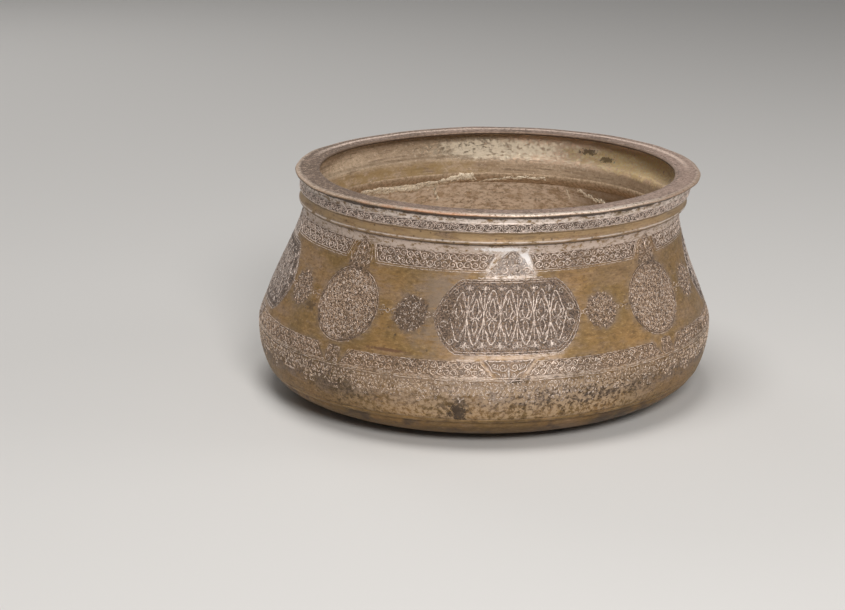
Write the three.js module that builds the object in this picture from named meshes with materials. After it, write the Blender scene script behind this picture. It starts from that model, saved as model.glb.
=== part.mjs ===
// A tinned copper basin: a round-bellied vessel of sheet copper with a turned neck and a flat rim.
// Millimetres, +Z up. The origin is the middle of the base, on the surface that the basin stands on.
// Every piece is a turned ring or dish, made by revolving its cross-section about the Z axis.
// Heights are measured up from the base and depths down from the crest of the rim.

import * as THREE from 'three';

// The bowl
const height = 123;
const bellyRadius = 126;
const bellyHeight = 40;
const waistRadius = 104;
const waistDepth = 22;
const baseRadius = 66;

// How far each curve runs on straight before it turns, as a share of its own span
const waistFullness = 0.18;
const shoulderFullness = 0.09;
const undersideFullness = 0.8;
const baseFullness = 0.8;

// The sheets that the wall, bottom and neck are raised from
const wallSheet = 1.2;
const panSheet = 1.3;
const collarSheet = 1;

// What is left between two pieces that touch
const clearance = 0.3;

// The rim: a flat, slightly dished ring with a rounded edge, let down over the top of the neck
const rimRadius = 111.6;
const rimWidth = 13.6;
const rimThickness = 2.2;
const rimDish = 0.35;
const rimSeatDepth = 0.8;
const rimSolderLeg = 1.8;

// The neck: a cone with a plain top, an engraved band, a groove and a ridge
const neckInset = 3.4;
const neckStandOff = 2.4;
const bandTopDepth = 5.9;
const bandFootDepth = 10.4;
const bandRelief = 0.25;
const grooveFootDepth = 14.8;
const grooveRelief = 0.5;
const ridgeRelief = 0.6;
const stepDepth = 17.5;

// The lap of the neck inside the wall, and the solder that closes it
const skirtDepth = 27.5;
const wallTopFlare = 1.2;
const solderHeight = 2.4;

// The lap of the bottom inside the wall, and the brazing that fills its groove
const seamHeight = 17;
const panLap = 8;
const grooveWidth = 2.4;
const joggleRun = 4;

// The vessel isn't true: its mouth stands to one side of its base and slopes down on that side
const mouthLean = 7.8;
const mouthSlope = 0.0132;

const segments = 64;

const copper = { color: 0x8f7a5c, roughness: 0.45, metalness: 0.9 };
const tinnedCopper = { color: 0x9c9083, roughness: 0.42, metalness: 0.9 };
const solder = { color: 0xb9b4a6, roughness: 0.6, metalness: 0.7 };
const brazing = { color: 0x9a7d45, roughness: 0.5, metalness: 0.8 };

const point = (radius, level) => new THREE.Vector2(radius, level);

// A point on the cross-section of the neck or rim, by its depth below the crest
const below = (radius, depth) => point(radius, height - depth);

// The bowl's outer surface, from the edge of the flat base up to the top of the wall
function bowlPath() {
  const waistHeight = height - waistDepth;
  const wallTopHeight = height - stepDepth - clearance;
  const bellySpan = waistHeight - bellyHeight;
  const baseSpan = bellyRadius - baseRadius;
  const underside = new THREE.CubicBezierCurve(
    point(baseRadius, 0),
    point(baseRadius + baseSpan * baseFullness, 0),
    point(bellyRadius, bellyHeight * (1 - undersideFullness)),
    point(bellyRadius, bellyHeight),
  );
  const shoulder = new THREE.CubicBezierCurve(
    point(bellyRadius, bellyHeight),
    point(bellyRadius, bellyHeight + bellySpan * shoulderFullness),
    point(waistRadius, waistHeight - bellySpan * waistFullness),
    point(waistRadius, waistHeight),
  );
  const lip = new THREE.QuadraticBezierCurve(
    point(waistRadius, waistHeight),
    point(waistRadius, (waistHeight + wallTopHeight) / 2),
    point(waistRadius + wallTopFlare, wallTopHeight),
  );
  const path = new THREE.CurvePath();
  path.add(underside);
  path.add(shoulder);
  path.add(lip);
  return path;
}

const bowl = bowlPath();
const bowlLength = bowl.getLength();

// The length along the bowl's path at which it reaches a height, found by halving
function lengthAtHeight(level) {
  let low = 0;
  let high = bowlLength;
  for (let step = 0; step < 40; step += 1) {
    const middle = (low + high) / 2;
    if (bowl.getPointAt(middle / bowlLength).y < level) {
      low = middle;
    } else {
      high = middle;
    }
  }
  return low;
}

// A point on the bowl's path, moved straight into the wall by an inset
function onBowl(length, inset) {
  const share = THREE.MathUtils.clamp(length / bowlLength, 0, 1);
  const place = bowl.getPointAt(share);
  const along = bowl.getTangentAt(share);
  return point(place.x - along.y * inset, place.y + along.x * inset);
}

// Points along a stretch of the bowl's path; the inset is a number or a function of the length
function stretch(from, to, steps, inset) {
  const insetAt = typeof inset === 'function' ? inset : () => inset;
  const points = [];
  for (let step = 0; step <= steps; step += 1) {
    const length = THREE.MathUtils.lerp(from, to, step / steps);
    points.push(onBowl(length, insetAt(length)));
  }
  return points;
}

// Points round an arc of the cross-section, with angles counted from outward towards up
function arc(centre, radius, fromDegrees, toDegrees, steps) {
  const points = [];
  for (let step = 0; step <= steps; step += 1) {
    const angle = THREE.MathUtils.degToRad(THREE.MathUtils.lerp(fromDegrees, toDegrees, step / steps));
    points.push(point(centre.x + radius * Math.cos(angle), centre.y + radius * Math.sin(angle)));
  }
  return points;
}

// The wall and the bottom share this stretch, where one laps inside the other
const seamLength = lengthAtHeight(seamHeight);
const lapLength = seamLength + panLap;
const lapInset = wallSheet + clearance;

// The stations lie closer together from here up, where the wall turns in to the waist
const waistTurn = 11;
const turnLength = lengthAtHeight(height - waistDepth - waistTurn);

// One face of the wall, from its lower edge up; both faces have the same stations
function wallFace(inset, top) {
  return [
    ...stretch(seamLength, lapLength, 3, inset),
    ...stretch(lapLength, turnLength, 8, inset).slice(1),
    ...stretch(turnLength, top, 4, inset).slice(1),
  ];
}

// The wall's top edge is filed level, so that the neck can sit on it
function bodyWall() {
  const topEdge = onBowl(bowlLength, 0);
  return [
    ...wallFace(0, bowlLength),
    point(topEdge.x - wallSheet, topEdge.y),
    ...wallFace(wallSheet, lengthAtHeight(topEdge.y - wallSheet)).reverse(),
  ];
}

// The bottom steps in behind the wall: flush with it below the groove, and a lap deep above it
const joggleTop = seamLength - grooveWidth;
const joggleFoot = joggleTop - joggleRun;

function panFace(depth) {
  const inset = (length) => depth + lapInset * THREE.MathUtils.smoothstep(length, joggleFoot, joggleTop);
  return [
    ...stretch(0, joggleFoot, 8, inset),
    ...stretch(joggleFoot, joggleTop, 2, inset).slice(1),
    ...stretch(seamLength, lapLength, 3, inset),
  ];
}

function bottomPan() {
  return [point(0, 0), ...panFace(0), ...panFace(panSheet).reverse(), point(0, panSheet)];
}

// The brazing fills the groove between the lower edge of the wall and the step in the bottom
function seamBraze() {
  const low = joggleTop + clearance;
  const high = seamLength - clearance;
  return [...stretch(low, high, 2, 0), ...stretch(high, low, 1, wallSheet)];
}

// The neck's outer surface before its mouldings: a cone that opens towards the rim
const neckTopDepth = rimThickness - rimSeatDepth + clearance;

function neckRadius(depth) {
  const share = (depth - neckTopDepth) / (stepDepth - neckTopDepth);
  return THREE.MathUtils.lerp(rimRadius - neckInset, waistRadius + neckStandOff, share);
}

// The rim's underside has a shallow seat turned in it, which the top edge of the neck stands in.
// The seat's sides are upright, so it is wide enough for the neck to slant in it.
function rimRing() {
  const roundness = rimThickness / 2;
  const edgeCentre = below(rimRadius - roundness, roundness);
  const mouthRadius = rimRadius - rimWidth;
  const seatDepth = rimThickness - rimSeatDepth;
  const neckAtSeat = [neckRadius(neckTopDepth), neckRadius(rimThickness)];
  const seatOuter = Math.max(...neckAtSeat) + clearance;
  const seatInner = Math.min(...neckAtSeat) - collarSheet - clearance;
  return [
    ...arc(edgeCentre, roundness, -90, 90, 6),
    below(mouthRadius + rimWidth / 2, rimDish / 2),
    below(mouthRadius + rimDish, rimDish),
    below(mouthRadius, rimDish * 2),
    below(mouthRadius, rimThickness),
    below(seatInner, rimThickness),
    below(seatInner, seatDepth),
    below(seatOuter, seatDepth),
    below(seatOuter, rimThickness),
  ];
}

// Solder in the corner under the rim, inside the neck
function rimSolder() {
  const topDepth = rimThickness + clearance;
  const footDepth = topDepth + rimSolderLeg;
  const neckSide = collarSheet + clearance;
  const corner = below(neckRadius(topDepth) - neckSide, topDepth);
  const foot = below(neckRadius(footDepth) - neckSide, footDepth);
  const inner = below(corner.x - rimSolderLeg, topDepth);
  const hollow = foot.clone().add(inner).add(corner).divideScalar(3);
  return [foot, corner, inner, hollow];
}

// A moulding between two depths, which stands out from the cone or sinks into it along an arch
function moulding(fromDepth, toDepth, relief, steps) {
  const points = [];
  for (let step = 1; step < steps; step += 1) {
    const depth = THREE.MathUtils.lerp(fromDepth, toDepth, step / steps);
    points.push(below(neckRadius(depth) + relief * Math.sin((Math.PI * step) / steps), depth));
  }
  return points;
}

// The skirt goes on down inside the wall, clear of it where the waist is narrowest
const skirtOuter = waistRadius - wallSheet - clearance;
const skirtInner = skirtOuter - collarSheet;

function neckCollar() {
  const ledgeDepth = stepDepth - collarSheet;
  return [
    below(skirtOuter, skirtDepth),
    below(skirtOuter, stepDepth),
    below(neckRadius(stepDepth), stepDepth),
    ...moulding(stepDepth, grooveFootDepth, ridgeRelief, 4),
    below(neckRadius(grooveFootDepth), grooveFootDepth),
    ...moulding(grooveFootDepth, bandFootDepth, -grooveRelief, 4),
    below(neckRadius(bandFootDepth) + bandRelief, bandFootDepth),
    below(neckRadius(bandTopDepth) + bandRelief, bandTopDepth),
    below(neckRadius(neckTopDepth), neckTopDepth),
    below(neckRadius(neckTopDepth) - collarSheet, neckTopDepth),
    below(neckRadius(bandFootDepth) - collarSheet, bandFootDepth),
    below(neckRadius(ledgeDepth) - collarSheet * 2, ledgeDepth - collarSheet),
    below(skirtInner + collarSheet / 2, ledgeDepth),
    below(skirtInner, stepDepth + collarSheet / 2),
    below(skirtInner, skirtDepth),
  ];
}

// The bead of solder lies in the corner between the skirt's lower edge and the wall
function collarSolder() {
  const topHeight = height - skirtDepth - clearance;
  const topLength = lengthAtHeight(topHeight);
  const footLength = lengthAtHeight(topHeight - solderHeight);
  return [
    ...stretch(footLength, topLength, 2, wallSheet + clearance),
    point(skirtInner, topHeight),
    point(skirtInner, topHeight - solderHeight / 3),
    point(skirtOuter, topHeight - (solderHeight * 2) / 3),
  ];
}

// Puts in the vessel's lean and the slope of its mouth; both grow with height and leave the base flat
function lean(geometry) {
  const positions = geometry.getAttribute('position');
  for (let index = 0; index < positions.count; index += 1) {
    const rise = positions.getZ(index) / height;
    const across = positions.getX(index);
    positions.setX(index, across + mouthLean * rise ** 3);
    positions.setZ(index, positions.getZ(index) - mouthSlope * across * rise ** 2);
  }
  geometry.computeVertexNormals();
}

// Turns a cross-section about the Z axis; the section runs up its outside and down its inside
function turned(name, section, finish) {
  const opensOnAxis = section[0].x === 0;
  const profile = opensOnAxis ? section : [...section, section[0]];
  const geometry = new THREE.LatheGeometry(profile, segments);
  geometry.rotateX(Math.PI / 2);
  lean(geometry);
  const mesh = new THREE.Mesh(geometry, new THREE.MeshStandardMaterial(finish));
  mesh.name = name;
  return mesh;
}

const basin = new THREE.Group();
basin.add(turned('rim_ring', rimRing(), tinnedCopper));
basin.add(turned('rim_solder', rimSolder(), solder));
basin.add(turned('neck_collar', neckCollar(), tinnedCopper));
basin.add(turned('collar_solder', collarSolder(), solder));
basin.add(turned('body_wall', bodyWall(), copper));
basin.add(turned('bottom_pan', bottomPan(), copper));
basin.add(turned('seam_braze', seamBraze(), brazing));

export default basin;
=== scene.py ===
# %% [markdown]
# # An engraved, tinned copper basin
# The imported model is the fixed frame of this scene: every piece made here lies where the model
# says. The bowl, neck and rim are turned shapes, so each one is a cross-section swept round the
# Z axis. The engraving is drawn flat, in millimetres, and Geometry Nodes wrap it onto the metal.

# %% Load the frame
import math

import bmesh
import bpy
import numpy as np
from mathutils import Matrix, Vector


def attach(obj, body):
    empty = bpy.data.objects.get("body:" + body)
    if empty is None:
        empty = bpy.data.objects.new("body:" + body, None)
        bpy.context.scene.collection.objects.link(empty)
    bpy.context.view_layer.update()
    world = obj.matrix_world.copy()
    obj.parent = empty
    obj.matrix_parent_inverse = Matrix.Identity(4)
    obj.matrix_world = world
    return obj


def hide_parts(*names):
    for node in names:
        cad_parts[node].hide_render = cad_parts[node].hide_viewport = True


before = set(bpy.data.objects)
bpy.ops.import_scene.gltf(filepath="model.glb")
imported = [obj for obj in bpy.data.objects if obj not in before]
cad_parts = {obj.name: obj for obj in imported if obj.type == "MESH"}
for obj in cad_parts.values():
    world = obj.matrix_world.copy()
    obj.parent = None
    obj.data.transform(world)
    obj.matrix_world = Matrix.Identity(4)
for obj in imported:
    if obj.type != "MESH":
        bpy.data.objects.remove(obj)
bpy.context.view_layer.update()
print("nodes in the model:", ", ".join(sorted(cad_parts)))

# %% [markdown]
# ## Sizes
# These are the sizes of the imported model, in millimetres, because the pieces below have to fit
# it. Lengths along the wall are measured from the edge of the flat base, up its outside, and
# depths down from the crest of the rim.

# %% Sizes of the model
MM = 0.001
HEIGHT = 123.0
BELLY_RADIUS, BELLY_HEIGHT = 126.0, 40.0
WAIST_RADIUS, WAIST_DEPTH = 104.0, 22.0
BASE_RADIUS = 66.0
WAIST_FULLNESS, SHOULDER_FULLNESS = 0.18, 0.09
UNDERSIDE_FULLNESS, BASE_FULLNESS = 0.8, 0.8
WALL_SHEET, PAN_SHEET, COLLAR_SHEET = 1.2, 1.3, 1.0
CLEARANCE = 0.3
RIM_RADIUS, RIM_WIDTH, RIM_THICKNESS = 111.6, 13.6, 2.2
RIM_SEAT, RIM_SOLDER_LEG = 0.8, 1.8
RIM_CREST, RIM_UNDERCUT, RIM_FALL = 2.3, 1.2, 0.8
NECK_INSET, NECK_STAND_OFF = 3.4, 2.4
BAND_TOP, BAND_FOOT, BAND_RELIEF = 5.9, 10.4, 0.25
GROOVE_FOOT, GROOVE_RELIEF, RIDGE_RELIEF = 14.8, 0.5, 0.6
STEP_DEPTH, SKIRT_DEPTH = 17.5, 27.5
WALL_TOP_FLARE = 1.2
SOLDER_HEIGHT = 2.4
SEAM_HEIGHT, PAN_LAP, SEAM_GROOVE, JOGGLE_RUN = 17.0, 8.0, 2.4, 4.0
MOUTH_LEAN, MOUTH_SLOPE = 7.8, 0.0132

# %% [markdown]
# ## The photograph's camera
# The camera was worked out from the ellipses of the mouth and the belly. It stands 1.27 m away
# and looks down at the mouth by about sixteen degrees, which a long lens frames without a shift.

# %% Camera
LENS, SENSOR_WIDTH = 95.3, 36.0
CAMERA_PLACE = (0.0, -1.2081, 0.3922)
LOOK_DOWN, LOOK_ASIDE, TILT = 16.11, 1.613, -0.246
camera_data = bpy.data.cameras.new("camera")
camera_data.sensor_width = SENSOR_WIDTH
camera_data.lens = LENS
camera = bpy.data.objects.new("camera", camera_data)
bpy.context.scene.collection.objects.link(camera)
bpy.context.scene.camera = camera
camera.location = CAMERA_PLACE
turns = [Matrix.Rotation(math.radians(degrees), 3, axis) for degrees, axis in (
    (LOOK_ASIDE, "Z"), (90 - LOOK_DOWN, "X"), (TILT, "Z"))]
camera.rotation_euler = (turns[0] @ turns[1] @ turns[2]).to_euler()
print("camera at", CAMERA_PLACE, "with a lens of", LENS, "mm")

# %% [markdown]
# ## The bowl's outer surface
# One curve gives the whole outside of the bowl: the turn of the underside, the belly with its
# long shoulder, and the small flare under the neck. It is kept as closely spaced points with
# their running length, so any place on the wall can be found by its length.

# %% The bowl's curve
def bezier(points, steps):
    share = np.linspace(0.0, 1.0, steps)[:, None]
    rows = [np.array(point, float)[None, :] for point in points]
    while len(rows) > 1:
        rows = [low * (1 - share) + high * share for low, high in zip(rows, rows[1:])]
    return rows[0]


def bowl_curve():
    waist_height = HEIGHT - WAIST_DEPTH
    top_height = HEIGHT - STEP_DEPTH - CLEARANCE
    span = waist_height - BELLY_HEIGHT
    turn = BELLY_RADIUS - BASE_RADIUS
    belly, waist = (BELLY_RADIUS, BELLY_HEIGHT), (WAIST_RADIUS, waist_height)
    underside = bezier([
        (BASE_RADIUS, 0),
        (BASE_RADIUS + turn * BASE_FULLNESS, 0),
        (BELLY_RADIUS, BELLY_HEIGHT * (1 - UNDERSIDE_FULLNESS)),
        belly], 400)
    shoulder = bezier([
        belly,
        (BELLY_RADIUS, BELLY_HEIGHT + span * SHOULDER_FULLNESS),
        (WAIST_RADIUS, waist_height - span * WAIST_FULLNESS),
        waist], 400)
    lip = bezier([
        waist,
        (WAIST_RADIUS, (waist_height + top_height) / 2),
        (WAIST_RADIUS + WALL_TOP_FLARE, top_height)], 60)
    return np.vstack([underside, shoulder[1:], lip[1:]])


def running_length(points):
    return np.concatenate([[0.0], np.cumsum(np.hypot(*np.diff(points, axis=0).T))])


BOWL = bowl_curve()
BOWL_LENGTHS = running_length(BOWL)
BOWL_LENGTH = BOWL_LENGTHS[-1]
BOWL_ALONG = np.gradient(BOWL, BOWL_LENGTHS, axis=0)


def on_bowl(length, inset=0.0):
    """Points at lengths along the bowl's outside, moved into the wall by an inset."""
    length = np.asarray(length, float)
    place = [np.interp(length, BOWL_LENGTHS, BOWL[:, axis]) for axis in (0, 1)]
    along = [np.interp(length, BOWL_LENGTHS, BOWL_ALONG[:, axis]) for axis in (0, 1)]
    size = np.hypot(*along)
    return np.stack([place[0] - along[1] / size * inset, place[1] + along[0] / size * inset], -1)


def radius_at(length):
    return float(on_bowl(length)[0])


def length_at(level):
    return float(np.interp(level, BOWL[:, 1], BOWL_LENGTHS))


SEAM = length_at(SEAM_HEIGHT)
LAP = SEAM + PAN_LAP
print("outside of the bowl: %.1f mm long, seam at %.1f mm" % (BOWL_LENGTH, SEAM))

# %% [markdown]
# ## The maker's hand
# A turned shape is too true. The real bowl was raised with a hammer and used for centuries, so
# it is a little out of round, softly rippled, dented here and there, and its mouth stands to one
# side and slopes. One function does all of this to every piece, so that they stay together.

# %% Hand-made unevenness
RIPPLES = (
    # rise and fall in mm, waves round the vessel, waves per mm of height, start
    (0.30, 2, 0.000, 0.7),
    (0.16, 3, 0.035, 2.1),
    (0.10, 5, -0.060, 0.4),
    (0.07, 9, 0.110, 1.3),
    (0.05, 16, 0.170, 2.9),
    (0.04, 23, -0.210, 0.9),
)
DENTS = (
    # azimuth in degrees, height, half width, half height and depth in mm
    (24.0, 117.0, 9.0, 3.2, 0.45),
    (-62.0, 62.0, 14.0, 11.0, 0.50),
    (-10.0, 20.0, 9.0, 7.0, 0.55),
    (38.0, 84.0, 12.0, 8.0, 0.30),
    (118.0, 52.0, 16.0, 12.0, 0.60),
    (-152.0, 70.0, 13.0, 12.0, 0.45),
    (171.0, 36.0, 18.0, 10.0, 0.50),
)
SAG, SAG_AZIMUTH, SAG_HALF_WIDTH = 1.0, -142.0, 34.0
# the flat base and the middle of the bottom stay true
UNEVEN_ABOVE, UNEVEN_BEYOND = 12.0, 60.0


def angle_from(azimuth, degrees):
    return (azimuth - math.radians(degrees) + math.pi) % (2 * math.pi) - math.pi


def by_hand(azimuth, radius, level):
    """Ideal turned places, in radians and mm, to where the hand-made vessel has them."""
    swell = np.zeros_like(azimuth)
    for rise, round_it, up_it, start in RIPPLES:
        swell += rise * np.cos(round_it * azimuth + up_it * level + start)
    for degrees, high, half_width, half_height, depth in DENTS:
        across = angle_from(azimuth, degrees) * BELLY_RADIUS / half_width
        swell -= depth * np.exp(-(across**2 + ((level - high) / half_height) ** 2))
    radius = radius + swell * np.clip(level / UNEVEN_ABOVE, 0, 1) * np.clip(radius / UNEVEN_BEYOND, 0, 1)
    rise = level / HEIGHT
    across = radius * np.sin(azimuth)
    to_sag = angle_from(azimuth, SAG_AZIMUTH) / math.radians(SAG_HALF_WIDTH)
    x = across + MOUTH_LEAN * rise**3
    y = -radius * np.cos(azimuth)
    z = level - MOUTH_SLOPE * across * rise**2 - SAG * np.exp(-(to_sag**2)) * rise**8
    return np.stack([x, y, z], -1) * MM


# %% [markdown]
# ## Turned pieces
# A cross-section is a list of stations. Each has its radius, its height, and two numbers that
# the finishes read: a place along the section, and 1 where the face looks inwards. The mesh is
# the section repeated round the axis, and the pole of a dish is welded to one point.

# %% Turned mesh
def link(data, name):
    piece = bpy.data.objects.new(name, data)
    bpy.context.scene.collection.objects.link(piece)
    return piece


def store_turned(mesh, degrees, place, inside):
    """Keeps azimuth, place and side on each face corner, where no seam can blur them."""
    layer = mesh.attributes.new("turned", "FLOAT_VECTOR", "CORNER")
    values = np.stack([degrees, place, inside], -1).reshape(-1)
    layer.data.foreach_set("vector", values.astype(np.float32))


def weld_pole(mesh):
    work = bmesh.new()
    work.from_mesh(mesh)
    on_axis = [v for v in work.verts if math.hypot(v.co.x, v.co.y) < 1e-7]
    if on_axis:
        bmesh.ops.remove_doubles(work, verts=on_axis, dist=1e-6)
        work.to_mesh(mesh)
    work.free()
    mesh.update()


def turned(name, section, around, tweak=None):
    """A closed piece from a section that runs up its outside and down its inside."""
    count = len(section)
    turn = np.repeat(np.linspace(-math.pi, math.pi, around, endpoint=False), count)
    radius, level, _, side = np.tile(section, (around, 1)).T
    if tweak is not None:
        radius, level = tweak(turn, radius, level, side)
    first = np.arange(around)[:, None]
    station = np.arange(count)[None, :]
    column, after = first * count, (first + 1) % around * count
    up = (station + 1) % count
    quads = np.stack([column + station, after + station, after + up, column + up], -1)
    turns = np.stack([first + 0 * station] * 4, -1) + np.array([0, 1, 1, 0])
    rows = np.stack([station + 0 * first] * 2 + [up + 0 * first] * 2, -1)
    on_axis = section[:, 0] < 1e-6
    keep = ~(on_axis & on_axis[up[0]])
    quads, turns, rows = (part[:, keep].reshape(-1, 4) for part in (quads, turns, rows))
    mesh = bpy.data.meshes.new(name)
    mesh.from_pydata(by_hand(turn, radius, level).tolist(), [], quads.tolist())
    store_turned(mesh, turns / around * 360 - 180, section[rows, 2], section[rows, 3])
    weld_pole(mesh)
    mesh.shade_smooth()
    return link(mesh, name)


def stations(points, place, inside):
    """Stations from points, with a place for each, or one for all, and one side for all."""
    place = np.broadcast_to(np.asarray(place, float), (len(points),))
    return np.column_stack([points, place, np.full(len(points), float(inside))])


def at_depths(points, inside):
    """Stations from radius and depth; their place is the depth."""
    points = np.asarray(points, float)
    return stations(np.column_stack([points[:, 0], HEIGHT - points[:, 1]]), points[:, 1], inside)


def stand_for(node, piece, metal):
    """Puts a finished piece in the place of a node of the model."""
    piece.data.materials.append(metal)
    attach(piece, "root")
    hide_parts(node)
    print("%s: %d faces, for %s" % (piece.name, len(piece.data.polygons), node))


# %% [markdown]
# ## Sums with nodes
# Every finish, and the tree that wraps the engraving, is a sum worked out by nodes. A value
# stands for the output of a node, and the signs of Python between two values add the Math node
# for them, so a finish reads as plain sums.

# %% Values from nodes
def written_as(operation, swapped=False):
    """What a sign such as + does: it adds a Math node."""

    def method(self, *others):
        return self.nodes.math(operation, *(others + (self,) if swapped else (self,) + others))

    return method


class Value:
    """The number that comes out of a node."""

    def __init__(self, nodes, socket):
        self.nodes, self.socket = nodes, socket

    __add__, __radd__ = written_as("ADD"), written_as("ADD", swapped=True)
    __sub__, __rsub__ = written_as("SUBTRACT"), written_as("SUBTRACT", swapped=True)
    __mul__, __rmul__ = written_as("MULTIPLY"), written_as("MULTIPLY", swapped=True)
    __truediv__, __pow__, __abs__ = written_as("DIVIDE"), written_as("POWER"), written_as("ABSOLUTE")

    def between(self, low, high):
        """Low where the value is 0 and high where it is 1."""
        return self.nodes.value("ShaderNodeMapRange", (self, 0.0, 1.0, low, high))

    def fade(self, low, high):
        """0 below low and 1 above high, or the other way round if high is the lesser."""
        return self.nodes.value(
            "ShaderNodeMapRange", (self, low, high, 0.0, 1.0), interpolation_type="SMOOTHSTEP")

    def near(self, middle, half, soft):
        """1 within half of middle, fading to 0 over soft."""
        return abs(self - middle).fade(half + soft / 2, half - soft / 2)


def most(first, *others):
    """The greatest of several values."""
    for other in others:
        first = first.nodes.math("MAXIMUM", first, other)
    return first


# %% Node trees
class Nodes:
    """A node tree and the means to add to it."""

    def __init__(self, tree):
        self.tree = tree

    def feed(self, socket, value):
        if isinstance(value, Value):
            self.tree.links.new(value.socket, socket)
        elif value is not None:
            socket.default_value = value

    def add(self, kind, inputs=(), **settings):
        """A node whose inputs are given in order or by name."""
        node = self.tree.nodes.new(kind)
        for name, value in settings.items():
            setattr(node, name, value)
        for key, value in inputs.items() if isinstance(inputs, dict) else enumerate(inputs):
            self.feed(node.inputs[key], value)
        return node

    def value(self, kind, inputs=(), output=0, **settings):
        return Value(self, self.add(kind, inputs, **settings).outputs[output])

    def math(self, operation, *values):
        return self.value("ShaderNodeMath", values, operation=operation)

    def parts(self, vector):
        """The three numbers of a vector."""
        return [Value(self, part) for part in self.add("ShaderNodeSeparateXYZ", (vector,)).outputs]


# %% [markdown]
# ## Finishes
# Each finish is one Principled shader fed by noise, cells and the turned coordinates. A colour
# is built up as a painter would, with coats laid one over another, each through its own mask.
# Sizes are in millimetres, and a bump's height too, so that the relief is true to scale.

# %% Helper for finishes
class Finish(Nodes):
    """One material of the basin."""

    def __init__(self, name):
        self.material = bpy.data.materials.new(name)
        self.material.use_nodes = True
        super().__init__(self.material.node_tree)
        self.shader = self.tree.nodes["Principled BSDF"].inputs
        self.object = self.value("ShaderNodeTexCoord", output="Object")
        coordinates = self.value("ShaderNodeAttribute", output="Vector", attribute_name="turned")
        self.azimuth, self.place, self.inside = self.parts(coordinates)

    def spread(self, size, stretch, shift):
        scale = [1.0 / (size * MM * part) for part in stretch]
        return self.value("ShaderNodeMapping", (self.object, shift, None, scale))

    def noise(self, size, stretch=(1, 1, 1), detail=3.0, rough=0.5, twist=0.0, shift=(0, 0, 0)):
        """Cloudy noise from 0 to 1 with features of a size in mm, longer where stretched."""
        return self.value("ShaderNodeTexNoise", {
            "Vector": self.spread(size, stretch, shift), "Scale": 1.0,
            "Detail": detail, "Roughness": rough, "Distortion": twist})

    def cells(self, size, feature="F1", shift=(0, 0, 0)):
        """Distance from the middle of scattered cells."""
        where = self.spread(size, (1, 1, 1), shift)
        return self.value(
            "ShaderNodeTexVoronoi", {"Vector": where, "Scale": 1.0}, "Distance", feature=feature)

    def mix(self, share, low, high):
        low, high = ((*tone, 1.0) if isinstance(tone, tuple) else tone for tone in (low, high))
        return self.value("ShaderNodeMix", {0: share, 6: low, 7: high}, 2, data_type="RGBA")

    def over(self, colour, *coats):
        """Lays coats over a colour in turn; each is a mask from 0 to 1 and a colour."""
        for mask, coat in coats:
            colour = self.mix(mask, colour, coat)
        return colour

    def turn_from(self, azimuth, period=360.0):
        return self.math("WRAP", self.azimuth - azimuth, period / 2, -period / 2)

    def facing(self, azimuth, far, near):
        """1 within near degrees of an azimuth, fading to 0 at far."""
        return abs(self.turn_from(azimuth)).fade(far, near)

    def away(self, azimuth, place, half_degrees, half_height):
        """Distance from a place, measured in the half sizes of a patch: 1 at its edge."""
        across = self.turn_from(azimuth) * (1 / half_degrees)
        return distance(across, (self.place - place) * (1 / half_height))

    def by_side(self, outside, inside):
        return (1.0 - self.inside) * outside + self.inside * inside

    def finish(self, colour, rough, height, metal):
        """Feeds the shader; the height is a relief in mm."""
        bump = self.value("ShaderNodeBump", {"Distance": MM, "Strength": 1.0, "Height": height})
        fed = {"Base Color": colour, "Roughness": rough, "Metallic": metal, "Normal": bump}
        for name, value in fed.items():
            self.feed(self.shader[name], value)
        return self.material


def distance(across, up):
    return (across**2.0 + up**2.0) ** 0.5


# %% Colours
GOLDEN, OLIVE = (0.315, 0.182, 0.068), (0.232, 0.143, 0.053)
UMBER, MAUVE = (0.120, 0.070, 0.034), (0.350, 0.245, 0.185)
SMOKE, RUBBED = (0.250, 0.185, 0.140), (0.500, 0.335, 0.165)
PALE_TIN, BRIGHT_TIN = (0.620, 0.500, 0.425), (0.800, 0.690, 0.620)
CUT, BLACKENED = (0.050, 0.034, 0.027), (0.048, 0.032, 0.023)
COPPER, TARNISH = (0.420, 0.185, 0.085), (0.230, 0.160, 0.090)
TIN_BROWN, TIN_BEIGE = (0.450, 0.325, 0.220), (0.660, 0.505, 0.355)
LIME, OCHRE_CRUST = (0.930, 0.800, 0.620), (0.960, 0.720, 0.310)

# %% [markdown]
# ## Where the engraving lies
# The pattern repeats every quarter turn: a cartouche, a rosette on each side of it, and a
# medallion half way to the next cartouche, between two borders, with a hem of curls under the
# lower one. Everything is placed by its azimuth from the middle of the front cartouche and by
# its length up the wall, and both the drawings and the darker grounds in the finish use it.

# %% Places of the engraving
CARTOUCHE_AZIMUTH = 5.9
QUARTER = 90.0
MEDALLION_TURN = QUARTER / 2
CARTOUCHE_LENGTH, CARTOUCHE_HALF_HEIGHT = 116.8, 19.2
CARTOUCHE_HALF_FLAT, CARTOUCHE_HALF_WIDTH = 26.0, 38.8
MEDALLION_LENGTH, MEDALLION_RADIUS = 116.3, 19.8
ROSETTE_TURN, ROSETTE_LENGTH, ROSETTE_RADIUS = 25.5, 117.0, 8.8
UPPER_FOOT, UPPER_TOP = 141.0, 149.4
LOWER_FOOT, LOWER_TOP = 86.2, 93.9
LOWER_MIDDLE = (LOWER_FOOT + LOWER_TOP) / 2
PENDANT_FOOT, PENDANT_TOP = 71.5, 84.6
# gaps in the borders, in degrees from the middle of the motif: at their foot and at their top
CREST_GAP, PALMETTE_GAP = (7.0, 4.6), (6.0, 4.2)
PENDENT_GAP, KNOT_GAP = (3.9, 7.0), (2.2, 5.2)
CREST_HALF, CREST_HEIGHT = 12.6, 13.0
PALMETTE_HALF, PALMETTE_HEIGHT = 8.0, 16.0
PENDENT_HALF, PENDENT_HEIGHT = 12.6, 12.5


def millimetres_per_degree(length):
    return math.radians(1) * radius_at(length)


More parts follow.
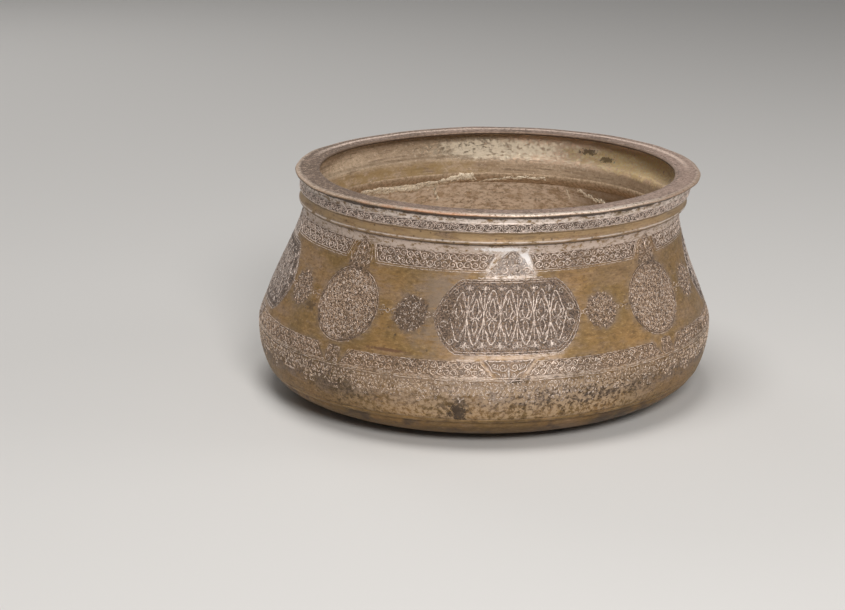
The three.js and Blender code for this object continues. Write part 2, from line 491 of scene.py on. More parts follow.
PER_DEGREE = millimetres_per_degree(CARTOUCHE_LENGTH)
print("a degree is %.2f mm across the middle of the cartouche" % PER_DEGREE)


# %% Masks of the engraved zones
def pointed(f, across, foot, half, height, soft):
    """A zone that stands on its foot, or hangs from it, and narrows to a round point."""
    rise = (f.place - foot) * (1 / height)
    room = most(1.0 - most(rise, 0.0), 0.0) ** 0.65
    inside = room * half - abs(across)
    ends = rise.fade(-soft / abs(height), 0.02) * rise.fade(1.05, 0.98)
    return inside.fade(-soft, soft * 0.2) * ends


def border_zone(f, aside, foot, top, gap, other_gap, soft):
    """A border's ground between its slanted ends."""
    rise = (f.place - foot) / (top - foot)
    start, end = (low + rise * (high - low) for low, high in (gap, other_gap))
    between = f.place.near((foot + top) / 2, (top - foot) / 2 + soft * 0.3, soft)
    return (between * (aside - start).fade(-soft * 0.5, 0.3)
            * (MEDALLION_TURN - end - aside).fade(-soft * 0.5, 0.3))


def cartouche_zone(across, up, soft):
    slim = abs(up * (1 / CARTOUCHE_HALF_HEIGHT))
    bulge = most(1.0 - slim**2.0, 0.0) ** 0.9
    edge = bulge * (CARTOUCHE_HALF_WIDTH - CARTOUCHE_HALF_FLAT - 1) + CARTOUCHE_HALF_FLAT
    soft_share = soft / CARTOUCHE_HALF_HEIGHT
    return (edge - across).fade(-soft, soft * 0.2) * slim.fade(1.0 + soft_share, 1.0 - soft_share * 0.2)


def engraved_zones(f, soft):
    """Masks of cartouches, round motifs, borders and hem, with edges as soft as asked, in mm."""
    aside = abs(f.turn_from(CARTOUCHE_AZIMUTH, QUARTER))
    up, across = f.place - CARTOUCHE_LENGTH, aside * PER_DEGREE
    to_medallion = (MEDALLION_TURN - aside) * PER_DEGREE
    to_rosette = (aside - ROSETTE_TURN) * PER_DEGREE
    worn_edge = (f.noise(3.0, detail=4.0) - 0.5) * 6.0
    medallion = distance(to_medallion, up).fade(MEDALLION_RADIUS + soft, MEDALLION_RADIUS - soft * 0.2)
    rosette = (distance(to_rosette, up) + worn_edge).fade(ROSETTE_RADIUS + 0.6 + soft, ROSETTE_RADIUS - 0.6)
    upper = border_zone(f, aside, UPPER_FOOT, UPPER_TOP, CREST_GAP, PALMETTE_GAP, soft)
    lower = border_zone(f, aside, LOWER_FOOT, LOWER_TOP, PENDENT_GAP, KNOT_GAP, soft)
    ragged = f.place + f.noise(7.0, detail=5.0, rough=0.7) * -10.0
    hem = (ragged.fade(PENDANT_FOOT - 8.0 - soft, PENDANT_FOOT - 3.0)
           * f.place.fade(PENDANT_TOP + soft, PENDANT_TOP))
    crest_foot = CARTOUCHE_LENGTH + CARTOUCHE_HALF_HEIGHT + 2.2
    palmette_foot = MEDALLION_LENGTH + MEDALLION_RADIUS
    points = most(
        pointed(f, across, crest_foot, CREST_HALF, CREST_HEIGHT, soft),
        pointed(f, to_medallion, palmette_foot, PALMETTE_HALF, PALMETTE_HEIGHT, soft),
        pointed(f, across, LOWER_TOP + 1.0, PENDENT_HALF, -PENDENT_HEIGHT, soft),
        distance(to_medallion, f.place - LOWER_MIDDLE).fade(4.6 + soft, 4.4 - soft * 0.2))
    cartouche = cartouche_zone(across, up, soft)
    return cartouche, most(medallion, rosette, points * 0.8), most(upper, lower), hem


# %% [markdown]
# ## The outside's metal
# The outside is copper that was tinned and has worn back to a smooth golden brown, streaked and
# mottled, with a little tin left in clouds. The same metal runs over wall, neck and bottom, so
# it is made once, and each of those finishes lays its own wear over it.

# %% The outside's metal
def blemish(f, azimuth, place, half_width, half_height, ragged=0.9, size=3.0):
    """A ragged patch round a place, half sizes in mm."""
    torn = (f.noise(size, detail=8.0, rough=0.8) - 0.5) * (ragged * 7)
    return (f.away(azimuth, place, half_width / PER_DEGREE, half_height) + torn).fade(1.10, 0.55)


def outside_metal(f, zones):
    """Colour, streaks, mottle and height; the zones are where the tin went grey."""
    streaks = f.noise(2.2, stretch=(7, 7, 1), detail=6.0, rough=0.7)
    clouds = f.noise(30.0, detail=5.0, rough=0.6)
    mottle = f.noise(5.0, stretch=(1.6, 1.6, 1), detail=6.0, rough=0.72, shift=(4, 4, 4))
    fine = f.noise(1.2, stretch=(2.4, 2.4, 1), detail=6.0, rough=0.8, shift=(6, 2, 8))
    tin_left = f.noise(24.0, stretch=(2.2, 2.2, 1), detail=6.0, rough=0.65, shift=(7, 3, 1))
    plain = f.over(
        f.mix(clouds.fade(0.38, 0.62), GOLDEN, OLIVE),
        (mottle.fade(0.54, 0.70) * 0.60, UMBER),
        (mottle.fade(0.44, 0.32) * 0.35, MAUVE),
        (tin_left.fade(0.50, 0.64) * streaks.between(0.2, 0.8) * 0.6, MAUVE),
        (zones * mottle.fade(0.66, 0.42) * streaks.fade(0.30, 0.52), SMOKE),
        (streaks.fade(0.52, 0.70) * 0.34, MAUVE),
        (streaks.fade(0.46, 0.28) * 0.52, UMBER),
        (fine.fade(0.51, 0.62) * 0.58, UMBER),
        (fine.fade(0.47, 0.35) * 0.50, RUBBED))
    height = (f.noise(15.0, detail=2.0) * 0.30 + f.cells(9.0, feature="SMOOTH_F1") * 0.12
              + mottle * 0.10 + streaks * 0.06 + fine * 0.05)
    return plain, streaks, mottle, height


# %% [markdown]
# ## The inside
# The inside is dull tin over copper, beige where it is whole and brown where food and polish
# have gone through it, with marks of the turning all round. Limescale lies on it in ragged
# whitish patches and runs.

# %% Inside finish
def tin_inside(f):
    turning = f.noise(1.3, stretch=(18, 18, 1), detail=5.0, rough=0.6, shift=(0, 0, 4))
    clouds = f.noise(26.0, stretch=(1.6, 1.6, 1), detail=6.0, rough=0.65, shift=(2, 6, 3))
    mottle = f.noise(4.2, detail=6.0, rough=0.72, shift=(8, 2, 5))
    spots = f.noise(1.3, stretch=(1.6, 1.6, 1), detail=5.0, rough=0.8, shift=(1, 8, 3))
    scale = (mottle * 0.55 + clouds * 0.45).fade(0.42, 0.34)
    colour = f.over(
        f.mix(clouds.fade(0.36, 0.64), TIN_BEIGE, TIN_BROWN),
        (turning.fade(0.50, 0.66) * 0.65, TIN_BEIGE),
        (turning.fade(0.46, 0.32) * 0.55, UMBER),
        (mottle.fade(0.54, 0.68) * 0.55, TARNISH),
        (spots.fade(0.52, 0.64) * 0.60, TARNISH),
        (spots.fade(0.45, 0.34) * 0.55, LIME),
        (scale * 0.7, LIME))
    height = turning * 0.08 + mottle * 0.18 + clouds * 0.4 + scale * 0.10 + spots * 0.10
    return colour, height


# %% [markdown]
# ## The engraved wall's finish
# The tin is left pale on the shoulder, round the crest and in streaks, the engraved grounds are
# dark, with grey tin around them, and black patina sits in pits and under the belly. A few
# marks, such as the black blotch low on the front, have their own places. A painted highlight
# lies on the crest and just above it, and the lower belly is painted darker towards the sides
# and paler at the front, as painted shade and light. Inside, the back is painted paler as
# painted light, and the right side darker as painted shade.

# %% Marks with places of their own
def pale_patches(f, aside, crest, streaks, mottle, specks):
    """Where tin is left: the shoulder, the crest's ground, and patches rubbed by use."""
    shoulder = f.place.fade(UPPER_TOP - 1.0, UPPER_TOP + 0.4)
    under = aside.fade(15.0, 7.0) * f.place.near(95.5, 2.0, 2.0)
    front = blemish(f, 8.0, 82.0, 46.0, 13.0, 0.25, 8.0)
    smears = most(blemish(f, -4.0, 94.2, 9.0, 1.3, 0.4), blemish(f, 15.5, 97.2, 8.0, 1.8, 0.5))
    patches = most(crest * 0.9, under * 0.5, front * 0.55, smears * 0.9)
    return most(
        patches * streaks.fade(0.26, 0.48) * mottle.fade(0.66, 0.46) * specks.fade(0.60, 0.46),
        shoulder * streaks.fade(0.30, 0.44) * mottle.fade(0.70, 0.52) * specks.fade(0.64, 0.50))


def dark_marks(f, patches):
    """Stains that the photograph shows in these places."""
    return most(
        blemish(f, -19.6, 117.0, 13.0, 13.0, 0.4, 6.0) * 0.40,
        blemish(f, -5.9, 66.2, 4.6, 6.0, 0.9, 1.8),
        blemish(f, -5.0, 72.0, 3.0, 2.4, 1.6, 1.4) * 0.7,
        blemish(f, 28.0, 73.5, 26.0, 4.0, 2.6, 1.4) * patches.fade(0.44, 0.54) * 0.9,
        blemish(f, -52.0, 110.0, 4.0, 3.0, 1.2) * 0.7,
        blemish(f, -38.0, 73.0, 12.0, 5.0, 2.2, 1.4) * patches.fade(0.42, 0.52) * 0.8,
        blemish(f, 8.1, 84.2, 3.2, 1.4, 1.0, 1.6) * 0.8)


# %% Wall finish
def wall_finish():
    f = Finish("engraved copper")
    near = engraved_zones(f, 5.0)
    cartouche, round_zones, borders, hem = engraved_zones(f, 0.6)
    smoky = f.away(1.0, 121.0, 27.0, 27.0).fade(1.15, 0.65)
    plain, streaks, mottle, height = outside_metal(f, most(most(*near) * 0.75, smoky * 0.9))
    grain = f.noise(0.8, detail=4.0, rough=0.65)
    specks = f.noise(1.6, stretch=(2, 2, 1), detail=5.0, rough=0.7, shift=(9, 9, 2))
    patches = f.noise(2.6, detail=5.0, rough=0.75, shift=(2, 4, 6))
    aside = abs(f.turn_from(CARTOUCHE_AZIMUTH, QUARTER))
    crest = aside.fade(CREST_GAP[0] + 1.0, CREST_GAP[0] - 1.6) * f.place.near(144.0, 7.5, 2.5)
    # Painted highlight: bright spots on the crest and just above it, and over the crest's ground.
    painted_highlight = most(
        blemish(f, 9.4, 146.4, 4.2, 4.6, 0.3), blemish(f, 3.0, 152.0, 15.0, 1.5, 0.5),
        crest * patches.fade(0.54, 0.46) * 0.52)
    haze = blemish(f, -12.5, 118.0, 12.0, 22.0, 0.5, 8.0) * streaks.fade(0.34, 0.50)
    torn_hem = hem * patches.fade(0.58, 0.44) * 0.8
    ground = most(cartouche, round_zones * 0.95, borders * 0.78, torn_hem)
    cut = f.mix(grain.fade(0.42, 0.60), CUT, f.mix(0.35, MAUVE, UMBER))
    pits = f.cells(5.5, shift=(3, 8, 2)).fade(0.16, 0.05) * mottle.fade(0.46, 0.60)
    soot = f.noise(14.0, detail=8.0, rough=0.78, shift=(1, 5, 9)).fade(0.60, 0.74)
    low = f.place.fade(92.0, 70.0)
    gritty = low * patches.fade(0.56, 0.66) * 0.5
    dark = most(pits * 0.7, soot * low.between(0.20, 0.75), dark_marks(f, patches) * 0.9, gritty)
    # Painted shade and light on the lower belly: darker towards the sides and paler at the front.
    painted_front_light = f.facing(6.0, 52.0, 20.0)
    outside = f.over(
        plain,
        (pale_patches(f, aside, crest, streaks, mottle, specks), PALE_TIN),
        (painted_highlight * 0.95, (0.940, 0.890, 0.870)),
        (haze * 0.60, (0.225, 0.165, 0.115)),
        (ground * patches.fade(0.64, 0.40).between(0.60, 1.0), cut),
        (f.place.fade(76.0, 50.0) * painted_front_light.between(0.42, 0.05), UMBER),
        (painted_front_light * f.place.fade(92.0, 78.0) * patches.fade(0.56, 0.44) * 0.58, (0.640, 0.460, 0.300)),
        (blemish(f, -24.0, 97.0, 13.0, 0.9, 0.5, 2.0) * 0.7, (0.130, 0.062, 0.040)),
        (dark, BLACKENED))
    inside, inside_height = tin_inside(f)
    # Painted light and shade inside: the back is painted paler, and the right side darker with the umber
    # coat.
    painted_inner_light = f.facing(188.0, 66.0, 30.0) * mottle.fade(0.64, 0.46) * specks.fade(0.62, 0.46)
    inside = f.over(
        inside,
        (painted_inner_light * 0.95, (0.860, 0.740, 0.620)),
        (f.facing(118.0, 40.0, 22.0) * 0.60, UMBER))
    rough = 0.42 + mottle * 0.20 + dark * 0.25 + painted_highlight * -0.14
    height = (height + grain * 0.03 + ground * -0.15 + ground * grain * 0.22 + dark * -0.18
              + low * patches * 0.16)
    f.feed(f.shader["Specular IOR Level"], 0.35)
    return f.finish(f.mix(f.inside, outside, inside), rough, f.by_side(height, inside_height),
                    dark.between(0.42, 0.05))


# %% [markdown]
# ## The wall
# The wall is one sheet, raised from the seam under the belly to the flare under the neck, with
# stations on both of its faces.

# %% The wall
def wall_section():
    outside = np.linspace(SEAM, BOWL_LENGTH, 76)
    top = on_bowl(BOWL_LENGTH)
    inside = np.linspace(SEAM, length_at(top[1] - WALL_SHEET), 50)[::-1]
    return np.vstack([
        stations(on_bowl(outside), outside, 0),
        stations([(top[0] - WALL_SHEET, top[1])], BOWL_LENGTH, 0),
        stations(on_bowl(inside, WALL_SHEET), inside, 1)])


stand_for("body_wall", turned("wall", wall_section(), around=400), wall_finish())

# %% [markdown]
# ## The bottom and the brazing
# The bottom is a dish that steps in behind the wall's lower edge, with the brazing flush in the
# groove between them. It shows the hammer and sooty patina, and it is painted darker than the
# wall, darkest towards the flat base, as painted shade of the underside. The brazing was filed
# smooth and is a faint yellow line.

# %% Bottom and brazing finishes
def bottom_finish():
    f = Finish("hammered bottom")
    plain, _, mottle, height = outside_metal(f, 0.0)
    hammer = f.cells(13.0, feature="SMOOTH_F1", shift=(5, 1, 7))
    soot = f.noise(22.0, detail=7.0, rough=0.7, shift=(1, 5, 9)).fade(0.46, 0.62)
    # Painted shade of the underside: an umber coat over the whole bottom, and darker still towards the flat
    # base.
    clear_of_painted_shade = f.place.fade(-14.0, 4.0)
    dark = most(soot * 0.75, (1.0 - clear_of_painted_shade) * 0.45, blemish(f, -11.2, 64.6, 6.5, 4.0))
    outside = f.over(plain, (0.35, UMBER), (dark, BLACKENED))
    inside, inside_height = tin_inside(f)
    height = f.by_side(height + hammer * 0.35, inside_height)
    return f.finish(f.mix(f.inside, outside, inside), 0.44 + mottle * 0.2, height, dark.between(0.5, 0.2))


def braze_finish():
    f = Finish("filed brazing")
    plain, _, mottle, height = outside_metal(f, 0.0)
    colour = f.over((0.330, 0.235, 0.110), (0.85, plain), (mottle.fade(0.44, 0.66) * 0.7, UMBER))
    return f.finish(colour, 0.40 + mottle * 0.2, height, 0.55)


# %% The bottom
JOGGLE_TOP = SEAM - SEAM_GROOVE
JOGGLE_FOOT = JOGGLE_TOP - JOGGLE_RUN


def smoothstep(value, low, high):
    share = np.clip((value - low) / (high - low), 0.0, 1.0)
    return share * share * (3 - 2 * share)


def bottom_section():
    flat = np.linspace(0.0, BASE_RADIUS, 26)[:-1]
    rising = np.concatenate([
        np.linspace(0.0, JOGGLE_FOOT, 26)[:-1],
        np.linspace(JOGGLE_FOOT, JOGGLE_TOP, 7)[:-1],
        np.linspace(JOGGLE_TOP, LAP, 8)])
    inset = (WALL_SHEET + CLEARANCE) * smoothstep(rising, JOGGLE_FOOT, JOGGLE_TOP)
    return np.vstack([
        stations(np.column_stack([flat, 0 * flat]), flat - BASE_RADIUS, 0),
        stations(on_bowl(rising, inset), rising, 0),
        stations(on_bowl(rising[::-1], PAN_SHEET + inset[::-1]), rising[::-1], 1),
        stations(np.column_stack([flat[::-1], 0 * flat + PAN_SHEET]), flat[::-1] - BASE_RADIUS, 1)])


stand_for("bottom_pan", turned("bottom", bottom_section(), around=320), bottom_finish())

# %% The brazing
BRAZE_GAP, BRAZE_PROUD = 0.1, 0.12


def braze_section():
    groove = np.linspace(JOGGLE_TOP + BRAZE_GAP, SEAM - BRAZE_GAP, 5)
    proud = -BRAZE_PROUD * np.sin(np.linspace(0, math.pi, 5))
    return np.vstack([
        stations(on_bowl(groove, proud), groove, 0),
        stations(on_bowl(groove[::-1], WALL_SHEET), groove[::-1], 1)])


stand_for("seam_braze", turned("braze", braze_section(), around=320), braze_finish())

# %% [markdown]
# ## The neck
# The neck is a cone with a raised engraved band, a hollow groove and a ridge, and a skirt that
# goes on down inside the wall. Its edges are softened by wear, so each moulding has several
# stations instead of a sharp corner. It has its tin on the mouldings, a painted highlight along
# the ridge, dirt and painted shade in its hollows, and a painted shadow just under the rim.
# Inside, the right of its back is painted paler as painted light, and its skirt on the right is
# painted darker as painted shade.

# %% Neck finish, outside
def neck_outside(f):
    plain, streaks, mottle, height = outside_metal(f, 0.35)
    grain = f.noise(0.8, detail=4.0, rough=0.65)
    specks = f.noise(1.6, stretch=(2, 2, 1), detail=5.0, rough=0.7, shift=(9, 9, 2))
    depth = f.place + (mottle - 0.5) * 1.2
    band = f.place.near((BAND_TOP + BAND_FOOT) / 2, (BAND_FOOT - BAND_TOP) / 2, 0.4)
    groove = depth.near((BAND_FOOT + GROOVE_FOOT) / 2, (GROOVE_FOOT - BAND_FOOT) / 2, 1.2)
    # Pale lines along the mouldings: a painted highlight on the ridge, and worn tin along the band's edges.
    edges = most(
        depth.near(GROOVE_FOOT + 1.0, 0.35, 0.5), depth.near(BAND_TOP - 0.3, 0.4, 0.8),
        depth.near(BAND_FOOT + 0.2, 0.3, 0.7))
    worn = streaks.fade(0.30, 0.46) * mottle.fade(0.70, 0.50) * specks.fade(0.62, 0.46)
    upper = depth.fade(BAND_FOOT, BAND_TOP).between(0.12, 1.0)
    pale = most((1.0 - groove) * worn * upper, edges * mottle.fade(0.62, 0.46) * 0.75)
    # Painted shade: a painted shadow under the rim, and dark lines in the step and under the band, with dirt
    # in pits and mottle.
    shadow = f.place + f.noise(5.0, stretch=(3, 3, 1), detail=4.0, rough=0.7, shift=(3, 1, 7)) * -3.4
    dirt_and_painted_shade = most(
        depth.near(STEP_DEPTH + 0.2, 0.5, 0.7), shadow.fade(1.9, 1.4),
        depth.near(BAND_FOOT + 0.9, 0.25, 0.5) * 0.7,
        f.cells(4.0).fade(0.22, 0.08) * 0.7, mottle.fade(0.62, 0.74) * 0.7)
    colour = f.over(
        plain,
        (pale, BRIGHT_TIN),
        (groove * streaks.fade(0.62, 0.44) * 0.55, (0.500, 0.350, 0.195)),
        (band * 0.95, f.mix(grain.fade(0.44, 0.62), (0.080, 0.056, 0.044), (0.260, 0.185, 0.140))),
        (dirt_and_painted_shade * 0.85, BLACKENED))
    return colour, mottle, height + band * grain * 0.22 + band * -0.10 + dirt_and_painted_shade * -0.10


# %% Neck finish, inside
def pit(f, azimuth, depth, half_width, half_height):
    ragged = (f.noise(1.8, detail=5.0, rough=0.7) - 0.5) * 5.0
    half_degrees = half_width / millimetres_per_degree(BOWL_LENGTH)
    return (f.away(azimuth, depth, half_degrees, half_height) + ragged).fade(1.20, 0.80)


def neck_inside(f, mottle):
    """Tin under limescale and crusts, which lie thickest at the back, with the right of the back painted
    paler as painted light and the skirt on the right darker as painted shade.
    """
    tin, height = tin_inside(f)
    torn = (mottle - 0.5) * 2.2
    flakes = f.noise(1.8, stretch=(2.0, 2.0, 1), detail=7.0, rough=0.82, shift=(3, 9, 1))
    grains = f.noise(1.4, detail=6.0, rough=0.8, shift=(5, 5, 9))
    lime = most(
        (f.away(178.0, 12.5, 20.0, 6.0) + torn).fade(1.25, 0.65) * flakes.fade(0.60, 0.52),
        (f.away(148.0, 12.0, 30.0, 7.5) + torn).fade(1.25, 0.55) * flakes.fade(0.54, 0.46) * 0.75,
        f.away(160.0, 11.0, 46.0, 9.0).fade(1.3, 0.7) * grains.fade(0.47, 0.41) * 0.8)
    crust = (f.away(126.0, 12.6, 24.0, 6.0) + torn).fade(1.4, 0.7)
    ochre = crust * grains.fade(0.56, 0.51) * 0.95
    skirt = f.place.fade(STEP_DEPTH - 1.0, STEP_DEPTH + 4.0)
    golden_brown = skirt * f.facing(-145.0, 45.0, 20.0) * mottle.fade(0.62, 0.42)
    # Painted light: the upper inside, to the right of the back, is painted paler.
    painted_inner_light = (1.0 - skirt) * f.facing(144.0, 46.0, 22.0) * mottle.fade(0.74, 0.56)
    pits = most(pit(f, 148.0, 11.0, 5.0, 1.5), pit(f, 140.5, 13.6, 4.2, 1.5))
    # Painted shade: the umber coat on the skirt at the right inside.
    colour = f.over(
        tin,
        (golden_brown * 0.75, (0.440, 0.300, 0.130)),
        (skirt * f.facing(122.0, 36.0, 16.0) * 0.40, UMBER),
        (painted_inner_light * grains.fade(0.70, 0.58) * 0.95, (1.000, 0.720, 0.520)),
        (grains.fade(0.58, 0.66) * 0.40, UMBER),
        (lime, LIME),
        (ochre, OCHRE_CRUST),
        (crust * grains.fade(0.48, 0.43) * 0.9, LIME),
        (pits * 0.75, UMBER))
    return colour, height + (lime * flakes * 0.9 + ochre * grains * 1.6) + pits * -0.6


def neck_finish():
    f = Finish("tinned neck")
    outside, mottle, height = neck_outside(f)
    inside, inside_height = neck_inside(f, mottle)
    return f.finish(f.mix(f.inside, outside, inside), 0.42 + mottle * 0.22,
                    f.by_side(height, inside_height), f.inside.between(0.45, 0.30))


# %% The neck
NECK_TOP = RIM_THICKNESS - RIM_SEAT + CLEARANCE
SKIRT_INNER = WAIST_RADIUS - WALL_SHEET - CLEARANCE - COLLAR_SHEET


def neck_radius(depth):
    share = (depth - NECK_TOP) / (STEP_DEPTH - NECK_TOP)
    top = RIM_RADIUS - NECK_INSET
    return top + (WAIST_RADIUS + NECK_STAND_OFF - top) * share


def neck_face(depth):
    """The neck's outer radius with its mouldings."""
    depth = np.asarray(depth, float)
    band = (BAND_RELIEF * smoothstep(depth, BAND_TOP - 0.5, BAND_TOP)
            * smoothstep(-depth, -BAND_FOOT - 0.3, -BAND_FOOT))
    groove_share = np.clip((depth - BAND_FOOT) / (GROOVE_FOOT - BAND_FOOT), 0, 1)
    ridge_share = np.clip((depth - GROOVE_FOOT) / (STEP_DEPTH - GROOVE_FOOT), 0, 1)
    groove = -GROOVE_RELIEF * np.sin(math.pi * groove_share)
    ridge = RIDGE_RELIEF * np.sin(math.pi * ridge_share)
    return neck_radius(depth) + band + groove + ridge


def neck_section():
    skirt_outer = SKIRT_INNER + COLLAR_SHEET
    ledge = STEP_DEPTH - COLLAR_SHEET
    face = np.linspace(STEP_DEPTH, NECK_TOP, 64)
    down = [
        (neck_radius(NECK_TOP) - COLLAR_SHEET, NECK_TOP),
        *[(neck_radius(d) - COLLAR_SHEET, d) for d in np.linspace(3.0, BAND_FOOT, 6)],
        *[(neck_radius(d) - COLLAR_SHEET * (1 + (d - BAND_FOOT) / 5.1), d) for d in (12.0, 13.8, 15.5)],
        (neck_radius(ledge) - COLLAR_SHEET * 2.6, ledge - COLLAR_SHEET / 4),
        (SKIRT_INNER + COLLAR_SHEET / 2, ledge + 0.2),
        (SKIRT_INNER, STEP_DEPTH + COLLAR_SHEET / 2),
        *[(SKIRT_INNER, d) for d in np.linspace(20.0, SKIRT_DEPTH - 1, 5)],
        (SKIRT_INNER, SKIRT_DEPTH)]
    return np.vstack([
        at_depths([(skirt_outer, SKIRT_DEPTH), (skirt_outer, STEP_DEPTH)], 0),
        at_depths(np.column_stack([neck_face(face), face]), 0),
        at_depths(down, 1)])


stand_for("neck_collar", turned("neck", neck_section(), around=400), neck_finish())

# %% [markdown]
# ## The rim
# The rim is a solid ring. Its outer edge was hammered round, so it wavers in and out and up and
# down. It is brown and speckled, and its edge is rubbed to red copper on the left of the front.
# Its left side is painted darker and its right side paler, as painted shade and light. A painted
# highlight runs along its crest at the front, a painted glint crosses the flange at the back,
# and its inner lip and the underside of its edge are painted dark as shade.

# %% Rim finish
def rim_finish():
    f = Finish("tinned rim")
    speckle = f.noise(1.9, detail=6.0, rough=0.80)
    clouds = f.noise(14.0, detail=5.0, rough=0.65)
    brushed = f.noise(1.2, detail=4.0, twist=1.5, shift=(3, 3, 3))
    mouth = RIM_RADIUS - RIM_WIDTH
    front = f.facing(-21.0, 26.0, 8.0)
    edge = f.place.fade(RIM_RADIUS - 2.6, RIM_RADIUS - 1.0)
    rubbed = edge * f.noise(9.0, detail=4.0, shift=(1, 1, 6)).fade(0.62, 0.46)
    # Painted highlight along the crest at the front, and a painted glint across the flange on the far side.
    crest = f.place.near(RIM_RADIUS - RIM_CREST + 0.9, 1.2, 0.8)
    painted_highlight = (crest * speckle.fade(0.62, 0.50) * front.between(1.0, 0.4)
             * f.facing(6.0, 52.0, 24.0).between(0.22, 1.0))
    far_side = f.facing(175.0, 92.0, 62.0)
    glint = far_side * f.place.near(RIM_RADIUS - 6.6, 1.3, 1.6) * brushed.fade(0.62, 0.50)
    # Dirt and painted shade: a dark broken line near the inner edge, dark clouds, and painted shade on the
    # underside of the edge.
    dirt_and_painted_shade = most(
        f.place.near(mouth + 1.7, 0.35, 0.6) * f.noise(2.2, shift=(9, 0, 0)).fade(0.52, 0.60),
        clouds.fade(0.62, 0.74) * 0.5, f.inside * 0.9)
    # Painted shade and light: the left side is painted darker and the right side paler, and the inner lip
    # darker.
    colour = f.over(
        f.mix(clouds.fade(0.35, 0.65), (0.330, 0.225, 0.175), (0.200, 0.130, 0.090)),
        (f.facing(-80.0, 66.0, 34.0) * 0.75, UMBER),
        (f.facing(70.0, 75.0, 40.0) * 0.35, (0.560, 0.400, 0.330)),
        (speckle.fade(0.52, 0.60) * 0.80, (0.080, 0.048, 0.034)),
        (speckle.fade(0.46, 0.39) * 0.65, (0.740, 0.550, 0.440)),
        (edge * 0.5, (0.330, 0.215, 0.120)),
        (rubbed * front.between(0.10, 0.75), COPPER),
        (painted_highlight * 0.90, (0.960, 0.820, 0.700)),
        (glint * 0.85, (0.900, 0.720, 0.610)),
        (f.place.fade(mouth + 1.2, mouth + 0.4) * 0.6, (0.200, 0.140, 0.100)),
        (dirt_and_painted_shade * 0.85, BLACKENED))
    height = speckle * 0.45 + clouds * 0.35 + brushed * 0.08 + dirt_and_painted_shade * -0.15
    return f.finish(colour, 0.40 + speckle * 0.20 + painted_highlight * -0.18, height, painted_highlight.between(0.50, 0.85))


# %% The rim
def rim_waver(turn, radius, level, _):
    outward = np.clip((radius - (RIM_RADIUS - RIM_WIDTH)) / RIM_WIDTH, 0, 1)
    wave = 0.22 * np.cos(7 * turn + 1.1) + 0.16 * np.cos(13 * turn + 0.3) + 0.10 * np.cos(29 * turn)
    lift = 0.16 * np.cos(5 * turn + 2.0) + 0.09 * np.cos(17 * turn + 0.8)
    return radius + wave * outward**2, level + lift * outward


def rim_section():
    half = RIM_THICKNESS / 2
    low, high = np.radians(np.linspace(-95, -8, 7)), np.radians(np.linspace(0, 90, 9))
    edge = [(RIM_RADIUS - RIM_UNDERCUT * (1 - math.cos(a)), half - 0.8 * half * math.sin(a)) for a in low]
    edge += [(RIM_RADIUS - RIM_CREST * (1 - math.cos(a)), half - half * math.sin(a)) for a in high]
    mouth = RIM_RADIUS - RIM_WIDTH
    inward = (RIM_WIDTH - RIM_CREST) * np.linspace(0.06, 0.97, 16)
    top = [(RIM_RADIUS - RIM_CREST - s, RIM_FALL * (s / RIM_WIDTH) ** 1.4) for s in inward]
    neck_at_seat = [neck_radius(NECK_TOP), neck_radius(RIM_THICKNESS)]
    seat_outer = max(neck_at_seat) + CLEARANCE
    seat_inner = min(neck_at_seat) - COLLAR_SHEET - CLEARANCE
    seat = RIM_THICKNESS - RIM_SEAT
    under = [
        (mouth + 0.12, RIM_FALL + 0.12), (mouth, RIM_FALL + 0.45), (mouth, RIM_THICKNESS - 0.3),
        (mouth + 0.3, RIM_THICKNESS), ((mouth + seat_inner) / 2, RIM_THICKNESS),
        (seat_inner, RIM_THICKNESS), (seat_inner, seat), (seat_outer, seat),
        (seat_outer, RIM_THICKNESS), (seat_outer + 0.5, RIM_THICKNESS - 0.1),
        (seat_outer + 0.9, RIM_THICKNESS - 0.6)]
    section = at_depths(np.vstack([edge, top, under]), 0)
    section[:, 2] = section[:, 0]
    # The lower half of the edge and the underside are marked as inside, so that the finish paints them dark
    # as painted shade.
    section[:len(low), 3] = 1
    section[-len(under) + 2:, 3] = 1
    return section


rim = turned("rim", rim_section(), around=480, tweak=rim_waver)
stand_for("rim_ring", rim, rim_finish())

# %% [markdown]
# ## The solder
# Two beads of soft solder hold the pieces together: one in the corner under the rim, and one
# that closes the lap of the neck inside the bowl. Solder runs in lumps, so both swell and
# shrink as they go round. The lower bead has taken on the brown of the tin round it.

# %% Solder finish
def solder_finish(name, pale, dark):
    f = Finish(name)
    crust = f.noise(1.8, detail=6.0, rough=0.7)
    lumps = f.cells(2.6, feature="SMOOTH_F1")
    colour = f.mix(crust.fade(0.40, 0.64), pale, dark)
    return f.finish(colour, 0.50 + crust * 0.3, crust * 0.30 + lumps * 0.15, 0.30)


# %% Solder beads
BEAD_TOP = HEIGHT - SKIRT_DEPTH - CLEARANCE
BEAD_FOOT = BEAD_TOP - SOLDER_HEIGHT * 2


def lumpy(amount):
    def tweak(turn, radius, level, side):
        lump = np.cos(31 * turn) + np.cos(47 * turn + 1.0) + np.cos(83 * turn + 2.0)
        drop = np.cos(11 * turn + 0.5) + np.cos(19 * turn)
        return radius - side * amount * (lump / 3 + 0.6), level - side * amount * drop * 0.3
    return tweak


def rim_solder_section():
    top = RIM_THICKNESS + CLEARANCE
    foot = top + RIM_SOLDER_LEG
    gap = COLLAR_SHEET + CLEARANCE
    corner = neck_radius(top) - gap
    return np.vstack([
        at_depths([(neck_radius(foot) - gap, foot), (corner, top)], 0),
        at_depths([(corner - RIM_SOLDER_LEG, top), (corner - 0.7, top + 0.6)], 0.5)])


